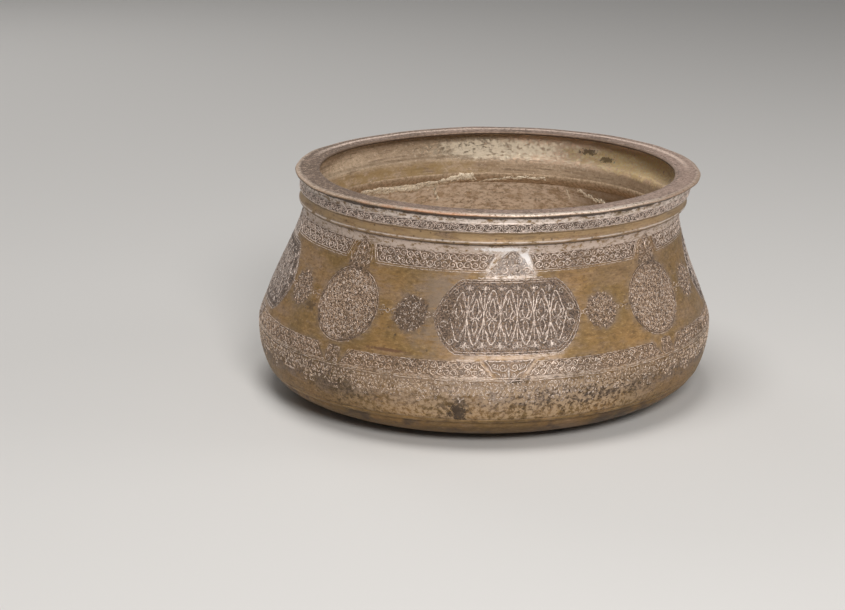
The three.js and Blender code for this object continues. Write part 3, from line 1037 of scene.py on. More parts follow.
def bead_front(proud):
    """The bead's face, from where it is wiped up over the skirt down to the wall."""
    low = on_bowl(length_at(BEAD_FOOT), WALL_SHEET)
    points = [(SKIRT_INNER - proud, BEAD_TOP + 1.2), (SKIRT_INNER - proud * 1.4, BEAD_TOP + 0.4)]
    for share in (0.0, 0.25, 0.5, 0.75, 0.94):
        away = (low[0] - SKIRT_INNER) * share**1.6 - proud * (1 - share)
        points.append((SKIRT_INNER + away, BEAD_TOP + (low[1] - BEAD_TOP) * share))
    return points


def collar_solder_section():
    back = np.linspace(length_at(BEAD_FOOT), length_at(BEAD_TOP), 5)
    return np.vstack([
        stations(on_bowl(back, WALL_SHEET + CLEARANCE / 2), back, 0),
        stations([(SKIRT_INNER + 0.1, BEAD_TOP), (SKIRT_INNER, BEAD_TOP + 1.3)], back[-1], 0.5),
        stations(bead_front(0.05), back[-1], 1)])


rim_bead = turned("rim_bead", rim_solder_section(), around=240, tweak=lumpy(0.2))
stand_for("rim_solder", rim_bead, solder_finish("crusted solder", TIN_BEIGE, TIN_BROWN))
collar_bead = turned("collar_bead", collar_solder_section(), around=360, tweak=lumpy(0.16))
stand_for("collar_solder", collar_bead,
          solder_finish("tarnished solder", (0.560, 0.420, 0.290), (0.330, 0.230, 0.140)))

# %% [markdown]
# ## Floor, backdrop and light
# A pale floor catches the shadow, and a pale world shows behind it to the camera and in the
# metal. The largest share of the light comes from a soft lamp high in front, as in the
# photograph. A weaker one on the right, one overhead and one behind keep the shadows open.

# %% Floor
FLOOR_RADIUS = 4.0
AIM = Vector((0.0, 0.0, 0.07))


def pale_floor():
    disc = bmesh.new()
    bmesh.ops.create_circle(disc, cap_ends=True, segments=96, radius=FLOOR_RADIUS)
    mesh = bpy.data.meshes.new("floor")
    disc.to_mesh(mesh)
    disc.free()
    floor = link(mesh, "floor")
    material = bpy.data.materials.new("pale floor")
    material.use_nodes = True
    shader = material.node_tree.nodes["Principled BSDF"].inputs
    shader["Base Color"].default_value = (0.67, 0.66, 0.65, 1)
    shader["Roughness"].default_value = 0.9
    shader["Specular IOR Level"].default_value = 0.1
    floor.data.materials.append(material)


# %% World and lamps
def pale_world(lit, seen):
    """Lights the object with one strength and shows the camera and the metal another."""
    world = bpy.data.worlds.new("world")
    bpy.context.scene.world = world
    world.use_nodes = True
    nodes = Nodes(world.node_tree)
    rays = nodes.add("ShaderNodeLightPath").outputs
    looks = [Value(nodes, rays[name]) for name in ("Is Camera Ray", "Is Glossy Ray", "Is Transmission Ray")]
    background = nodes.tree.nodes["Background"].inputs
    nodes.feed(background["Strength"], most(*looks).between(lit, seen))
    nodes.feed(background["Color"], (1.0, 0.99, 0.98, 1))


def soft_lamp(name, place, size, power):
    data = bpy.data.lights.new(name, "AREA")
    data.shape, data.size = "DISK", size
    data.energy, data.color = power, (1.0, 0.98, 0.95)
    lamp = link(data, name)
    lamp.location = place
    lamp.rotation_euler = (AIM - lamp.location).to_track_quat("-Z", "Y").to_euler()


pale_floor()
pale_world(lit=0.11, seen=0.45)
soft_lamp("key", (0.32, -1.44, 0.98), size=0.55, power=17.5)
soft_lamp("side", (1.30, 0.00, 0.60), size=0.80, power=3.0)
soft_lamp("top", (-0.15, -0.30, 1.50), size=0.80, power=11.0)
soft_lamp("back", (-0.80, 1.20, 0.85), size=0.90, power=4.0)
bpy.context.scene.view_settings.view_transform = "Standard"


# %% [markdown]
# ## Drawing the engraving
# A drawing is a list of strokes. Each stroke is a row of points in millimetres with half its
# width at every point, so that a line can swell and taper as a graver's does. The small
# functions here make the few shapes that all the patterns are built from.

# %% Strokes
def stroke(points, width, taper=0.0):
    """One line; taper thins it towards both ends, as a share of its width."""
    points = np.asarray(points, float)
    share = np.linspace(0.0, 1.0, len(points))
    half = width / 2 * (1 - taper + taper * np.sin(math.pi * share) ** 0.6)
    return points, half


def round_about(centre, reach, angle):
    """Points at some distance from a centre, at angles in radians."""
    return np.column_stack([centre[0] + reach * np.cos(angle), centre[1] + reach * np.sin(angle)])


def curl(centre, radius, start, turns, width, inner=0.3, steps=14):
    """A spiral that winds in from its start angle; negative turns wind clockwise."""
    share = np.linspace(0.0, 1.0, steps)
    angle = math.radians(start) + 2 * math.pi * turns * share
    reach = radius * (1 - (1 - inner) * share**0.9)
    return round_about(centre, reach, angle), width / 2 * (1 - 0.3 * share)


def leaf(start, end, width, bow=0.0, steps=6):
    """A short pointed leaf from start to end, bowed to its left by a share of its length."""
    start, end = np.asarray(start, float), np.asarray(end, float)
    share = np.linspace(0.0, 1.0, steps)
    along = end - start
    left = np.array([-along[1], along[0]])
    points = start + along * share[:, None] + left * (bow * np.sin(math.pi * share))[:, None]
    return points, np.maximum(width / 2 * np.sin(math.pi * share) ** 0.7, 0.06)


def dot(centre, size):
    return leaf((centre[0] - size / 2, centre[1]), (centre[0] + size / 2, centre[1]), size, steps=5)


def rule(x_from, x_to, y, width, step=1.5):
    count = max(3, int(abs(x_to - x_from) / step) + 1)
    across = np.linspace(x_from, x_to, count)
    return stroke(np.column_stack([across, np.full(count, float(y))]), width)


def ring(centre, radius, width, steps=24):
    return stroke(round_about(centre, radius, np.linspace(0, 2 * math.pi, steps + 1)), width)


def smooth(points, width, taper=0.0, steps=18):
    """A line that runs smoothly through a few points."""
    points = np.asarray(points, float)
    padded = np.vstack([2 * points[0] - points[1], points, 2 * points[-1] - points[-2]])
    out = []
    per_span = max(2, steps // (len(points) - 1))
    for a, b, c, d in zip(padded, padded[1:], padded[2:], padded[3:]):
        for share in np.arange(per_span) / per_span:
            s2, s3 = share**2, share**3
            out.append(0.5 * (2 * b + (c - a) * share + (2 * a - 5 * b + 4 * c - d) * s2
                              + (3 * b - a - 3 * c + d) * s3))
    out.append(points[-1])
    return stroke(out, width, taper)


# %% Moving and copying strokes
def bent(drawing, where):
    return [(where(points), half) for points, half in drawing]


def moved(drawing, x=0.0, y=0.0, turn=0.0):
    c, s = math.cos(math.radians(turn)), math.sin(math.radians(turn))
    spin = np.array([[c, s], [-s, c]])
    return bent(drawing, lambda points: points @ spin + (x, y))


def mirrored(drawing):
    return bent(drawing, lambda points: points * (-1, 1))


def flipped(drawing):
    return bent(drawing, lambda points: points * (1, -1))


def both(drawing):
    return drawing + mirrored(drawing)


def all_round(drawing, count):
    return [line for index in range(count) for line in moved(drawing, turn=360 / count * index)]


def kept(drawing, test):
    """The parts of strokes whose points pass a test."""
    out = []
    for points, half in drawing:
        good = test(points)
        run = []
        for index in range(len(points) + 1):
            if index < len(points) and good[index]:
                run.append(index)
                continue
            if len(run) > 2:
                out.append((points[run], half[run]))
            run = []
    return out


# %% [markdown]
# ## The running scroll
# Most zones are filled by the same idea: a vine that passes over one bay and under the next,
# throwing off a curl into each. Straight it fills a border, with leaves in its corners it fills
# the neck's band, bent into rings it fills a medallion, and clipped it grounds the cartouche.

# %% Running scroll
def scroll(bays, bay, height, width, turns, leaves=True):
    """A vine along x from 0, centred on y 0; the bays are as wide as bay."""
    lines = []
    for index in range(bays):
        side = 1 if index % 2 == 0 else -1
        middle = np.array([(index + 0.5) * bay, 0.0])
        reach = np.array([bay / 2, side * height / 2])
        over = np.linspace(math.pi, 0.0, 7)
        lines.append(stroke(middle + reach * np.column_stack([np.cos(over), np.sin(over)]), width))
        share = np.linspace(0.0, 1.0, 2 + round(9 * turns))
        wind = -2 * math.pi * turns * share
        size = (1 - 0.66 * share**0.8)[:, None]
        points = middle + reach * size * np.column_stack([np.cos(wind), np.sin(wind)])
        lines.append((points, width / 2 * (1 - 0.2 * share)))
        lines.append(dot(middle, width * 1.5))
        if leaves:
            corner = middle + (-bay / 2, side * height * 0.40)
            tip = corner + (bay * 0.20, side * height * 0.08)
            lines.append(leaf(corner + (-bay * 0.16, 0), tip, width * 1.3, 0.1))
            foot = middle + (bay * 0.12, -side * height * 0.47)
            lines.append(leaf(foot, foot + (bay * 0.34, side * height * 0.02), width * 1.1, -0.15))
    return lines


def curl_rows(length, height, bay, row, width):
    """Rows of the scroll one over another, each turned over against the last."""
    rows = max(1, round(height / row))
    bays = max(2, round(length / bay))
    lines = []
    for index in range(rows):
        turns = 0.8 + 0.25 * (index % 2)
        run = scroll(bays, length / bays, height / rows * 0.92, width, turns, leaves=False)
        run = run if index % 2 else flipped(run)
        lines += moved(run, y=(index - (rows - 1) / 2) * height / rows)
    return lines


def scroll_ring(radius, bay, height, width, start=0.0):
    """The running scroll bent into a closed ring."""
    bays = 2 * max(2, round(math.pi * radius / bay))
    run = scroll(bays, 2 * math.pi * radius / bays, height, width, turns=0.85, leaves=False)
    return bent(run, lambda points: round_about(
        (0, 0), radius + points[:, 1], points[:, 0] / radius + start))


# %% [markdown]
# ## Wrapping a drawing onto the metal
# One Geometry Nodes tree does this for every drawing. It gives each stroke a low rounded
# section, repeats the drawing round the vessel, and wraps it: x becomes an angle, y a length
# along the profile, and z a height above the metal. The result is made a plain mesh and then
# gets the same hand-made unevenness as the wall under it.

# %% Drawings and profiles as curves
def poly_curve(name, lines):
    """A curve object from lines, each with x, y and z in mm and half its width."""
    data = bpy.data.curves.new(name, "CURVE")
    data.dimensions, data.twist_mode = "3D", "Z_UP"
    for x, y, z, half in lines:
        places = np.column_stack([x, y + 0 * x, z + 0 * x, np.ones(len(x))])
        line = data.splines.new("POLY")
        line.points.add(len(x) - 1)
        line.points.foreach_set("co", places.astype(np.float32).reshape(-1))
        line.points.foreach_set("radius", (half + 0 * x).astype(np.float32))
    return link(data, name)


def profile_curve(name, points):
    radius, level = np.transpose(points)
    return poly_curve(name, [(radius, 0.0, level, 1.0)])


BOWL_PROFILE = profile_curve("bowl profile", BOWL)
NECK_DEPTHS = np.linspace(BAND_FOOT, BAND_TOP, 12)
NECK_PROFILE = profile_curve(
    "neck profile", np.column_stack([neck_face(NECK_DEPTHS), HEIGHT - NECK_DEPTHS]))

# %% The wrapping tree
STROKE_SECTION = ((-1.0, 0.25, 0.0), (-0.55, -0.60, 0.0), (0.55, -0.60, 0.0), (1.0, 0.25, 0.0))
WRAP_INPUTS = {
    "Geometry": "Geometry", "Motif": "Object", "Profile": "Object", "Units": "Int", "Unit step": "Float",
    "Panels": "Int", "First turn": "Float", "Radius": "Float", "Length": "Float", "Metal": "Material"}


def repeated(tree, geometry, count, step):
    """Copies in a row along x, realized."""
    offset = tree.value("ShaderNodeCombineXYZ", (step,))
    line = tree.value("GeometryNodeMeshLine", {"Count": count, "Offset": offset})
    copies = tree.value("GeometryNodeInstanceOnPoints", {"Points": line, "Instance": geometry})
    return tree.value("GeometryNodeRealizeInstances", (copies,))


def relief_of(tree, motif):
    """The strokes of a drawing with their rounded section, as wide as each stroke is."""
    drawn = tree.value("GeometryNodeObjectInfo", {"Object": motif}, "Geometry")
    corners = {"Point %d" % (index + 1): place for index, place in enumerate(STROKE_SECTION)}
    section = tree.value("GeometryNodeCurvePrimitiveQuadrilateral", corners, mode="POINTS")
    return tree.value("GeometryNodeCurveToMesh", {
        "Curve": drawn, "Profile Curve": section, "Scale": tree.value("GeometryNodeInputRadius"),
        "Fill Caps": True})


def on_profile(tree, profile, degrees, along, height):
    """The place in space of an angle, a length along the profile and a height above it."""
    line = tree.value("GeometryNodeObjectInfo", {"Object": profile}, "Geometry")
    sampled = tree.add("GeometryNodeSampleCurve", {"Curves": line, "Length": along},
                       mode="LENGTH", use_all_curves=True).outputs
    place, tangent = (tree.parts(Value(tree, sampled[name])) for name in ("Position", "Tangent"))
    reach = place[0] + tangent[2] * height
    level = place[2] - tangent[0] * height
    angle = tree.math("RADIANS", degrees)
    x, y = reach * tree.math("SINE", angle), reach * tree.math("COSINE", angle) * -1.0
    return tree.value("ShaderNodeCombineXYZ", (x, y, level))


def wrapping_tree():
    group = bpy.data.node_groups.new("wrap engraving", "GeometryNodeTree")
    for name, kind in WRAP_INPUTS.items():
        group.interface.new_socket(name, in_out="INPUT", socket_type="NodeSocket" + kind)
    group.interface.new_socket("Geometry", in_out="OUTPUT", socket_type="NodeSocketGeometry")
    tree = Nodes(group)
    start = tree.add("NodeGroupInput").outputs
    _, motif, profile, units, unit_step, panels, first_turn, radius, length, metal = (
        Value(tree, start[name]) for name in WRAP_INPUTS)
    per_degree = radius * math.radians(1)
    panel = repeated(tree, relief_of(tree, motif), units, unit_step)
    relief = repeated(tree, panel, panels, per_degree * QUARTER)
    x, y, height = tree.parts(tree.value("GeometryNodeInputPosition"))
    degrees, along = x / per_degree + first_turn, y + length
    coordinates = tree.value("ShaderNodeCombineXYZ", (degrees, along))
    marked = tree.value(
        "GeometryNodeStoreNamedAttribute", {"Geometry": relief, "Name": "turned", "Value": coordinates},
        data_type="FLOAT_VECTOR", domain="POINT")
    wrapped = on_profile(tree, profile, degrees, along, height)
    shaped = tree.value("GeometryNodeSetPosition", {"Geometry": marked, "Position": wrapped})
    realized = tree.value("GeometryNodeRealizeInstances", (shaped,))
    finished = tree.value("GeometryNodeSetMaterial", {"Geometry": realized, "Material": metal})
    tree.add("NodeGroupOutput", (finished,))
    return group


WRAP = wrapping_tree()


# %% Engrave a drawing
def wander(points, amount=0.22):
    """The graver's small unsteadiness, the same wherever the same place is cut."""
    x, y = points[:, 0], points[:, 1]
    dx = np.sin(2.1 * x + 1.3 * y) + np.sin(1.1 * x - 2.3 * y + 1.0)
    dy = np.sin(1.7 * x - 1.9 * y + 2.0) + np.sin(2.6 * x + 0.9 * y)
    return points + amount * np.column_stack([dx, dy]) / 2


def unsettle(mesh):
    """Gives a wrapped mesh the unevenness of the metal under it."""
    spots = np.empty(len(mesh.vertices) * 3, np.float32)
    mesh.vertices.foreach_get("co", spots)
    x, y, z = spots.reshape(-1, 3).astype(float).T
    placed = by_hand(np.arctan2(x, -y), np.hypot(x, y), z)
    mesh.vertices.foreach_set("co", placed.astype(np.float32).reshape(-1))
    mesh.update()
    mesh.shade_smooth()


def engrave(name, drawing, length, metal, first_turn=CARTOUCHE_AZIMUTH, profile=None, radius=None,
            units=1, unit_step=0.0, panels=4):
    """A drawing as relief on the bowl, or on another profile, as one plain mesh."""
    lines = [(*points.T, 0.0, half) for points, half in bent(drawing, wander)]
    motif = poly_curve(name + " drawing", lines)
    host = link(bpy.data.meshes.new(name), name)
    wrap = host.modifiers.new("wrap", "NODES")
    wrap.node_group = WRAP
    settings = {
        "Motif": motif, "Profile": profile or BOWL_PROFILE, "Units": units, "Unit step": unit_step,
        "Panels": panels, "First turn": first_turn, "Radius": radius or radius_at(length),
        "Length": float(length), "Metal": metal}
    for item in WRAP.interface.items_tree:
        if item.name in settings:
            wrap[item.identifier] = settings[item.name]
    host.update_tag()
    evaluated = host.evaluated_get(bpy.context.evaluated_depsgraph_get())
    mesh = bpy.data.meshes.new_from_object(evaluated)
    host.modifiers.clear()
    bpy.data.objects.remove(motif)
    unsettle(mesh)
    host.data = mesh
    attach(host, "root")
    triangles = sum(len(face.vertices) - 2 for face in mesh.polygons)
    print("%s: %d strokes, %d triangles" % (name, len(drawing), triangles))


# %% [markdown]
# ## The raised lines' finish
# What stands between the cuts kept its tin longest, so the strokes are pale, but they are
# rubbed through to golden copper in clouds, and the fine ones are dull with dirt. Near the
# front of the vessel they are painted brighter, as painted light.

# %% Finish of the strokes
def stroke_finish(name, pale, worn, amount, flashes):
    """The amount is how much is rubbed through, the flashes how many bright flecks are left."""
    f = Finish(name)
    clouds = f.noise(16.0, detail=6.0, rough=0.7, shift=(2, 7, 5))
    fine = f.noise(1.6, detail=4.0, rough=0.65, shift=(5, 1, 3))
    patches = f.noise(2.8, detail=4.0, rough=0.7, shift=(6, 6, 1))
    flecks = f.noise(1.0, detail=4.0, rough=0.7, shift=(8, 3, 6))
    # Painted light: strokes near the front, low on the belly and at the crest, are painted brighter.
    front = most(
        f.facing(9.0, 26.0, 10.0) * f.place.fade(112.0, 90.0),
        f.facing(6.5, 11.0, 4.0) * f.place.fade(132.0, 138.0))
    rubbed = (clouds * 0.65 + fine * 0.35).fade(0.56 - amount, 0.66 - amount)
    smoked = most(
        f.away(-18.0, 117.0, 13.0, 26.0).fade(1.2, 0.6),
        f.turn_from(CARTOUCHE_AZIMUTH).fade(12.0, 18.0) * 0.4 * f.turn_from(20.0).near(0.0, 9.0, 4.0))
    bright = most(flecks.fade(0.52, 0.60), patches.fade(0.53, 0.62) * 0.8)
    dull = most(flecks.fade(0.47, 0.38) * 0.85, patches.fade(0.46, 0.36) * 0.75)
    colour = f.over(
        f.mix(front * 0.5, pale, BRIGHT_TIN),
        (rubbed, worn),
        (smoked * 0.80, UMBER),
        (bright * flashes, BRIGHT_TIN),
        (dull, CUT))
    return f.finish(colour, 0.30 + fine * 0.25, flecks * 0.08, 0.60)


bright_strokes = stroke_finish(
    "bright tinned lines", (0.520, 0.415, 0.350), (0.270, 0.195, 0.150), amount=0.04, flashes=0.75)
soft_strokes = stroke_finish(
    "worn tinned lines", (0.480, 0.325, 0.215), (0.260, 0.165, 0.090), amount=0.04, flashes=0.75)
upper_strokes = stroke_finish(
    "tinned lines by the neck", (0.660, 0.510, 0.420), (0.360, 0.255, 0.175), amount=0.02, flashes=0.95)
neck_strokes = stroke_finish(
    "neck's tinned lines", (0.800, 0.640, 0.545), (0.480, 0.350, 0.265), amount=0.02, flashes=0.95)
hem_strokes = stroke_finish(
    "gritty tinned lines", (0.700, 0.515, 0.370), (0.370, 0.260, 0.160), amount=0.05, flashes=0.95)
ground_strokes = stroke_finish(
    "dull ground lines", (0.150, 0.116, 0.100), (0.085, 0.060, 0.046), amount=0.04, flashes=0.18)

# %% [markdown]
# ## Medallions
# A medallion is a disc of tightly packed curls inside two thin circles. Rings of running
# scroll, each a little smaller than the last, fill it without leaving bare places.

# %% Medallions
MEDALLION_ROW, MEDALLION_BAY = 2.45, 2.3


def medallion_drawing():
    """Rings of curls to the middle, inside two circles that are worn away in places."""

    def left_whole(points):
        turn = np.arctan2(points[:, 1], points[:, 0])
        return np.sin(3 * turn + 0.6) + 0.7 * np.sin(8 * turn) > -0.75

    outlines = [ring((0, 0), MEDALLION_RADIUS, 0.40, 60), ring((0, 0), MEDALLION_RADIUS - 1.1, 0.26, 56)]
    lines = kept(outlines, left_whole)
    radius = MEDALLION_RADIUS - 1.5 - MEDALLION_ROW / 2
    start = 0.0
    while radius > MEDALLION_ROW / 2:
        lines += scroll_ring(radius, MEDALLION_BAY, MEDALLION_ROW * 0.94, 0.48, start)
        radius -= MEDALLION_ROW
        start += 0.7
    return lines


BY_MEDALLION = CARTOUCHE_AZIMUTH + MEDALLION_TURN
engrave("medallions", medallion_drawing(), MEDALLION_LENGTH, soft_strokes, BY_MEDALLION)

# %% [markdown]
# ## Cartouches
# A bold mirrored arabesque fills the cartouche: two vines cross into a row of pointed arches
# with a palmette in each, with sprays above and below. It stands over a fine scroll ground,
# inside a pointed double outline.

# %% Cartouche outline
def cartouche_half_width(y, shrink=0.0):
    slim = np.clip(np.abs(y) / (CARTOUCHE_HALF_HEIGHT - shrink), 0, 1)
    bulge = 0.89 * (1 - slim**2) ** 0.9 + 0.11 * np.clip(1 - slim / 0.14, 0, 1)
    reach = CARTOUCHE_HALF_WIDTH - CARTOUCHE_HALF_FLAT
    lobes = 0.35 * np.sin(slim * math.pi * 3) * (1 - slim)
    return CARTOUCHE_HALF_FLAT + reach * bulge + lobes - shrink


def cartouche_outline(shrink, width):
    high = CARTOUCHE_HALF_HEIGHT - shrink
    y = high * np.sin(np.linspace(-math.pi / 2, math.pi / 2, 71))
    side = np.column_stack([cartouche_half_width(y, shrink), y])
    end = side[-1, 0]
    flat = [rule(-end, end, high, width), rule(-end, end, -high, width)]
    return flat + both([stroke(side, width)])


# %% Cartouche arches and ground
BOLD, ARCH = 0.70, 8.6


def arch_palmette(tall):
    """The palmette in an arch; tall is a share of the tallest one's height."""
    return both([
        smooth([(0.15, -0.4), (1.5, 2.2 * tall), (1.3, 6.0 * tall), (0, 10.0 * tall)], BOLD, 0.3, 12),
        smooth([(0.1, -0.6), (2.4, -0.2), (3.1, 2.2), (2.2, 3.4), (1.9, 2.2)], BOLD * 0.8, 0.4),
        smooth([(0.15, -1.2), (1.3, -3.6), (1.1, -6.4 * tall), (0, -9.8 * tall)], BOLD * 0.9, 0.3, 12),
        leaf((0.4, -1.0), (2.7, -2.4), 0.8, 0.2)])


def spray():
    """What grows up from where the vines cross, between two arches."""
    stem = smooth([(0, 1.6), (0, 6.0), (0, 11.6)], BOLD, 0.4, 8)
    return both([
        smooth([(0.1, 3.2), (1.2, 6.4), (2.8, 9.6), (2.4, 12.6)], BOLD * 0.8, 0.4, 12),
        leaf((0.7, 12.4), (0.1, 16.6), 1.0, 0.15),
        curl((1.6, 14.8), 1.0, 230, -1.1, 0.5, steps=8)]) + [stem]


def cartouche_bold():
    x = np.linspace(0.0, 3.9 * ARCH, 90)
    beat = np.cos(math.pi * x / ARCH)
    wave = np.minimum(14.0, (35.5 - x) * 1.25) * np.abs(beat) ** 0.85 * np.sign(beat)
    half = [stroke(np.column_stack([x, sign * wave]), BOLD) for sign in (1, -1)]
    for index, tall in enumerate((1.0, 0.95, 0.72)):
        half += moved(arch_palmette(tall), ARCH * (index + 1))
    for index in range(3):
        half += moved(spray() + flipped(spray()), ARCH * (index + 0.5))
    half += [
        curl((33.0, 4.4), 2.4, 200, 1.3, BOLD, 0.2, 14), curl((33.0, -4.4), 2.4, 160, -1.3, BOLD, 0.2, 14),
        curl((28.6, 12.6), 1.9, 20, 1.3, BOLD * 0.8, 0.2, 12),
        curl((28.6, -12.6), 1.9, -20, -1.3, BOLD * 0.8, 0.2, 12)]
    return arch_palmette(1.0) + both(half)


def cartouche_ground():
    def within(points):
        room = cartouche_half_width(points[:, 1], 1.6)
        return (np.abs(points[:, 0]) < room - 0.8) & (np.abs(points[:, 1]) < CARTOUCHE_HALF_HEIGHT - 2.0)

    rows = curl_rows(CARTOUCHE_HALF_WIDTH * 2 + 0.4, height=36.0, bay=2.8, row=2.9, width=0.40)
    return kept(moved(rows, -CARTOUCHE_HALF_WIDTH - 0.2), within)


outlines = cartouche_outline(0.0, 0.42) + cartouche_outline(1.2, 0.34)
engrave("cartouche_scroll", cartouche_ground(), CARTOUCHE_LENGTH, ground_strokes)
engrave("cartouches", outlines + cartouche_bold(), CARTOUCHE_LENGTH, bright_strokes)

# %% [markdown]
# ## Rosettes and their links
# A small rosette hangs in a chain between each cartouche and medallion. It is rings of curls
# round a button, with a leafy edge and a bud on either side, where the chain starts.

# %% Rosettes
def rosette_drawing():
    lines = scroll_ring(radius=5.9, bay=2.9, height=3.2, width=0.48, start=0.2)
    lines += [ring((0, 0), 1.2, 0.45, 10), dot((0, 0), 0.9)]
    lines += all_round([curl((2.9, 0), 1.2, 200, -1.3, 0.48, steps=11)], 6)
    edge = [leaf((7.7, 0), (9.5, 0.5), 1.0, 0.1), curl((8.2, 1.7), 0.7, 0, 1.0, 0.4, steps=7)]
    bud = [smooth([(8.4, 1.4), (10.0, 1.1), (11.6, 0)], 0.5)]
    return lines + all_round(edge, 12) + both(bud + flipped(bud))


def chain_drawing():
    """Beads between rosette and medallion, and the knot at the cartouche's point."""
    return [
        ring((13.0, 0), 1.1, 0.45, 12), leaf((14.0, 0), (18.6, 0), 1.2),
        curl((16.2, 1.6), 1.1, 200, -1.2, 0.45, steps=9), curl((16.2, -1.6), 1.1, 160, 1.2, 0.45, steps=9),
        ring((-11.9, 0), 0.9, 0.4, 10)]


for name, side, chain in (
        ("rosettes_left", -1, mirrored(chain_drawing())), ("rosettes_right", 1, chain_drawing())):
    engrave(name, rosette_drawing() + chain, ROSETTE_LENGTH, soft_strokes,
            CARTOUCHE_AZIMUTH + side * ROSETTE_TURN)

# %% [markdown]
# ## Borders
# The upper and lower borders are runs of the scroll between ruled lines. The upper one is broken
# at the crests and palmettes, the lower one at the pendent motifs and knots. The run on one side
# of a cartouche is drawn, mirrored to its other side, and the pair repeated four times.

# %% Borders
def border_drawing(foot, top, gap, other_gap, bay, row, width):
    """Both runs of one panel; y is measured from the middle of the border."""
    per_degree = millimetres_per_degree((foot + top) / 2)
    high = (top - foot) / 2
    start = [degrees * per_degree for degrees in gap]
    end = [(MEDALLION_TURN - degrees) * per_degree for degrees in other_gap]

    def within(points):
        share = (points[:, 1] + high) / (2 * high)
        low = start[0] + (start[1] - start[0]) * share
        far = end[0] + (end[1] - end[0]) * share
        return (points[:, 0] > low + 0.7) & (points[:, 0] < far - 0.7)

    def slanted(ends, aside, thick):
        return stroke([(ends[0] + aside, -high), (ends[1] + aside, high)], width * thick)

    length = max(end) - min(start)
    lines = kept(moved(curl_rows(length, high * 2 - 0.8, bay, row, width), min(start)), within)
    lines += [
        rule(start[0], end[0], -high, width * 0.8),
        rule(start[0] - 1, end[0] + 1, -high - 1.1, width * 0.6),
        rule(start[1], end[1], high, width * 0.8),
        slanted(start, 0, 0.7), slanted(end, 0, 0.7), slanted(end, 1.2, 0.6)]
    return both(lines)


UPPER_MIDDLE = (UPPER_FOOT + UPPER_TOP) / 2
upper = border_drawing(UPPER_FOOT, UPPER_TOP, CREST_GAP, PALMETTE_GAP, bay=3.8, row=3.6, width=0.60)
engrave("upper_border", upper, UPPER_MIDDLE, upper_strokes)
lower = border_drawing(LOWER_FOOT, LOWER_TOP, PENDENT_GAP, KNOT_GAP, bay=3.6, row=3.3, width=0.56)
engrave("lower_border", lower, LOWER_MIDDLE, soft_strokes)

# %% [markdown]
# ## Crests and palmettes
# Over each cartouche a crest of spirals stands on a plain patch of pale tin, which carries a
# painted highlight, and over each medallion a palmette grows on a short stem. Under the
# cartouche a lobed motif points down between the two runs of the lower border, and a knot sits
# there under the medallion.

# %% Crests and palmettes
def crest_drawing():
    width = 0.72
    half = [
        curl((3.0, 2.9), 2.8, 150, -1.5, width, 0.2, 18), curl((8.4, 2.2), 2.1, 160, -1.4, width, 0.2, 15),
        curl((3.9, 7.2), 1.8, 200, -1.4, width, 0.2, 13), curl((1.1, 9.6), 1.1, 200, -1.2, width, 0.3, 10),
        leaf((6.0, 4.6), (7.4, 6.6), 1.0, -0.2), leaf((10.4, 2.4), (12.2, 1.2), 0.9, 0.2),
        smooth([(12.4, 0.2), (10.8, 3.6), (8.2, 5.6), (6.4, 8.6), (3.4, 9.8), (1.8, 11.6), (0, 12.6)],
               0.42),
        smooth([(0, 0.2), (4, -0.1), (8, 0.0), (12.4, 0.2)], 0.42),
        smooth([(0, -1.4), (8, -1.4), (16.5, -1.3)], 0.75, 0.5)]
    return [smooth([(0, 5.2), (0, 8.0)], width, steps=4), dot((0, 11.2), 1.3)] + both(half)


def palmette_drawing():
    width = 0.50
    middle = [
        smooth([(0, 0), (0, 3.8)], width, steps=4), leaf((0, 6.0), (0, 11.6), 1.7), dot((0, 13.2), 1.0)]
    half = [
        smooth([(0, 1.2), (1.8, 2.2), (3.4, 1.4), (3.6, 0.2)], width, 0.4),
        curl((1.9, 4.8), 1.5, 200, -1.4, width, 0.2, 13), curl((1.9, 8.2), 1.4, 210, 1.4, width, 0.2, 12),
        curl((1.5, 11.2), 1.1, 210, -1.3, width, 0.2, 11), curl((5.2, 3.2), 1.3, 160, -1.3, width, 0.25, 10),
        curl((4.9, 6.4), 1.2, 160, 1.3, width, 0.25, 10), curl((4.4, 9.4), 1.1, 160, -1.3, width, 0.25, 10),
        smooth([(1.0, 2.8), (3.4, 3.6), (3.7, 7.0), (3.2, 10.4), (1.8, 12.6), (0, 14.2)], 0.42),
        smooth([(4.6, 1.6), (7.0, 4.0), (6.6, 7.6), (5.8, 10.8), (3.4, 13.2), (0, 15.2)], 0.42),
        leaf((7.2, 5.4), (8.6, 7.0), 0.8, 0.2), leaf((6.4, 10.4), (8.0, 12.0), 0.8, 0.2)]
    return middle + both(half)


engrave("crests", crest_drawing(), CARTOUCHE_LENGTH + CARTOUCHE_HALF_HEIGHT + 2.4, bright_strokes)
engrave("palmettes", palmette_drawing(), MEDALLION_LENGTH + MEDALLION_RADIUS, soft_strokes, BY_MEDALLION)


# %% Pendent motifs and knots
def pendent_drawing():
    width = 0.52
    half = [
        smooth([(0, 0.2), (5, 0.1), (9, 0.2), (12.4, 0.4)], 0.5),
        smooth([(12.4, 0.4), (9.6, -2.4), (8.4, -5.0), (5.2, -6.2), (3.0, -9.0), (0, -11.2)], 0.45),
        curl((2.9, -3.0), 2.3, 200, 1.4, width, 0.2, 15), curl((7.2, -2.2), 1.9, 160, 1.4, width, 0.2, 13),
        curl((2.4, -7.0), 1.3, 200, 1.3, width, 0.25, 10), leaf((5.0, -4.8), (6.6, -4.0), 0.9, 0.2)]
    return [leaf((0, -3.0), (0, -8.4), 1.6), dot((0, -1.4), 1.1)] + both(half)


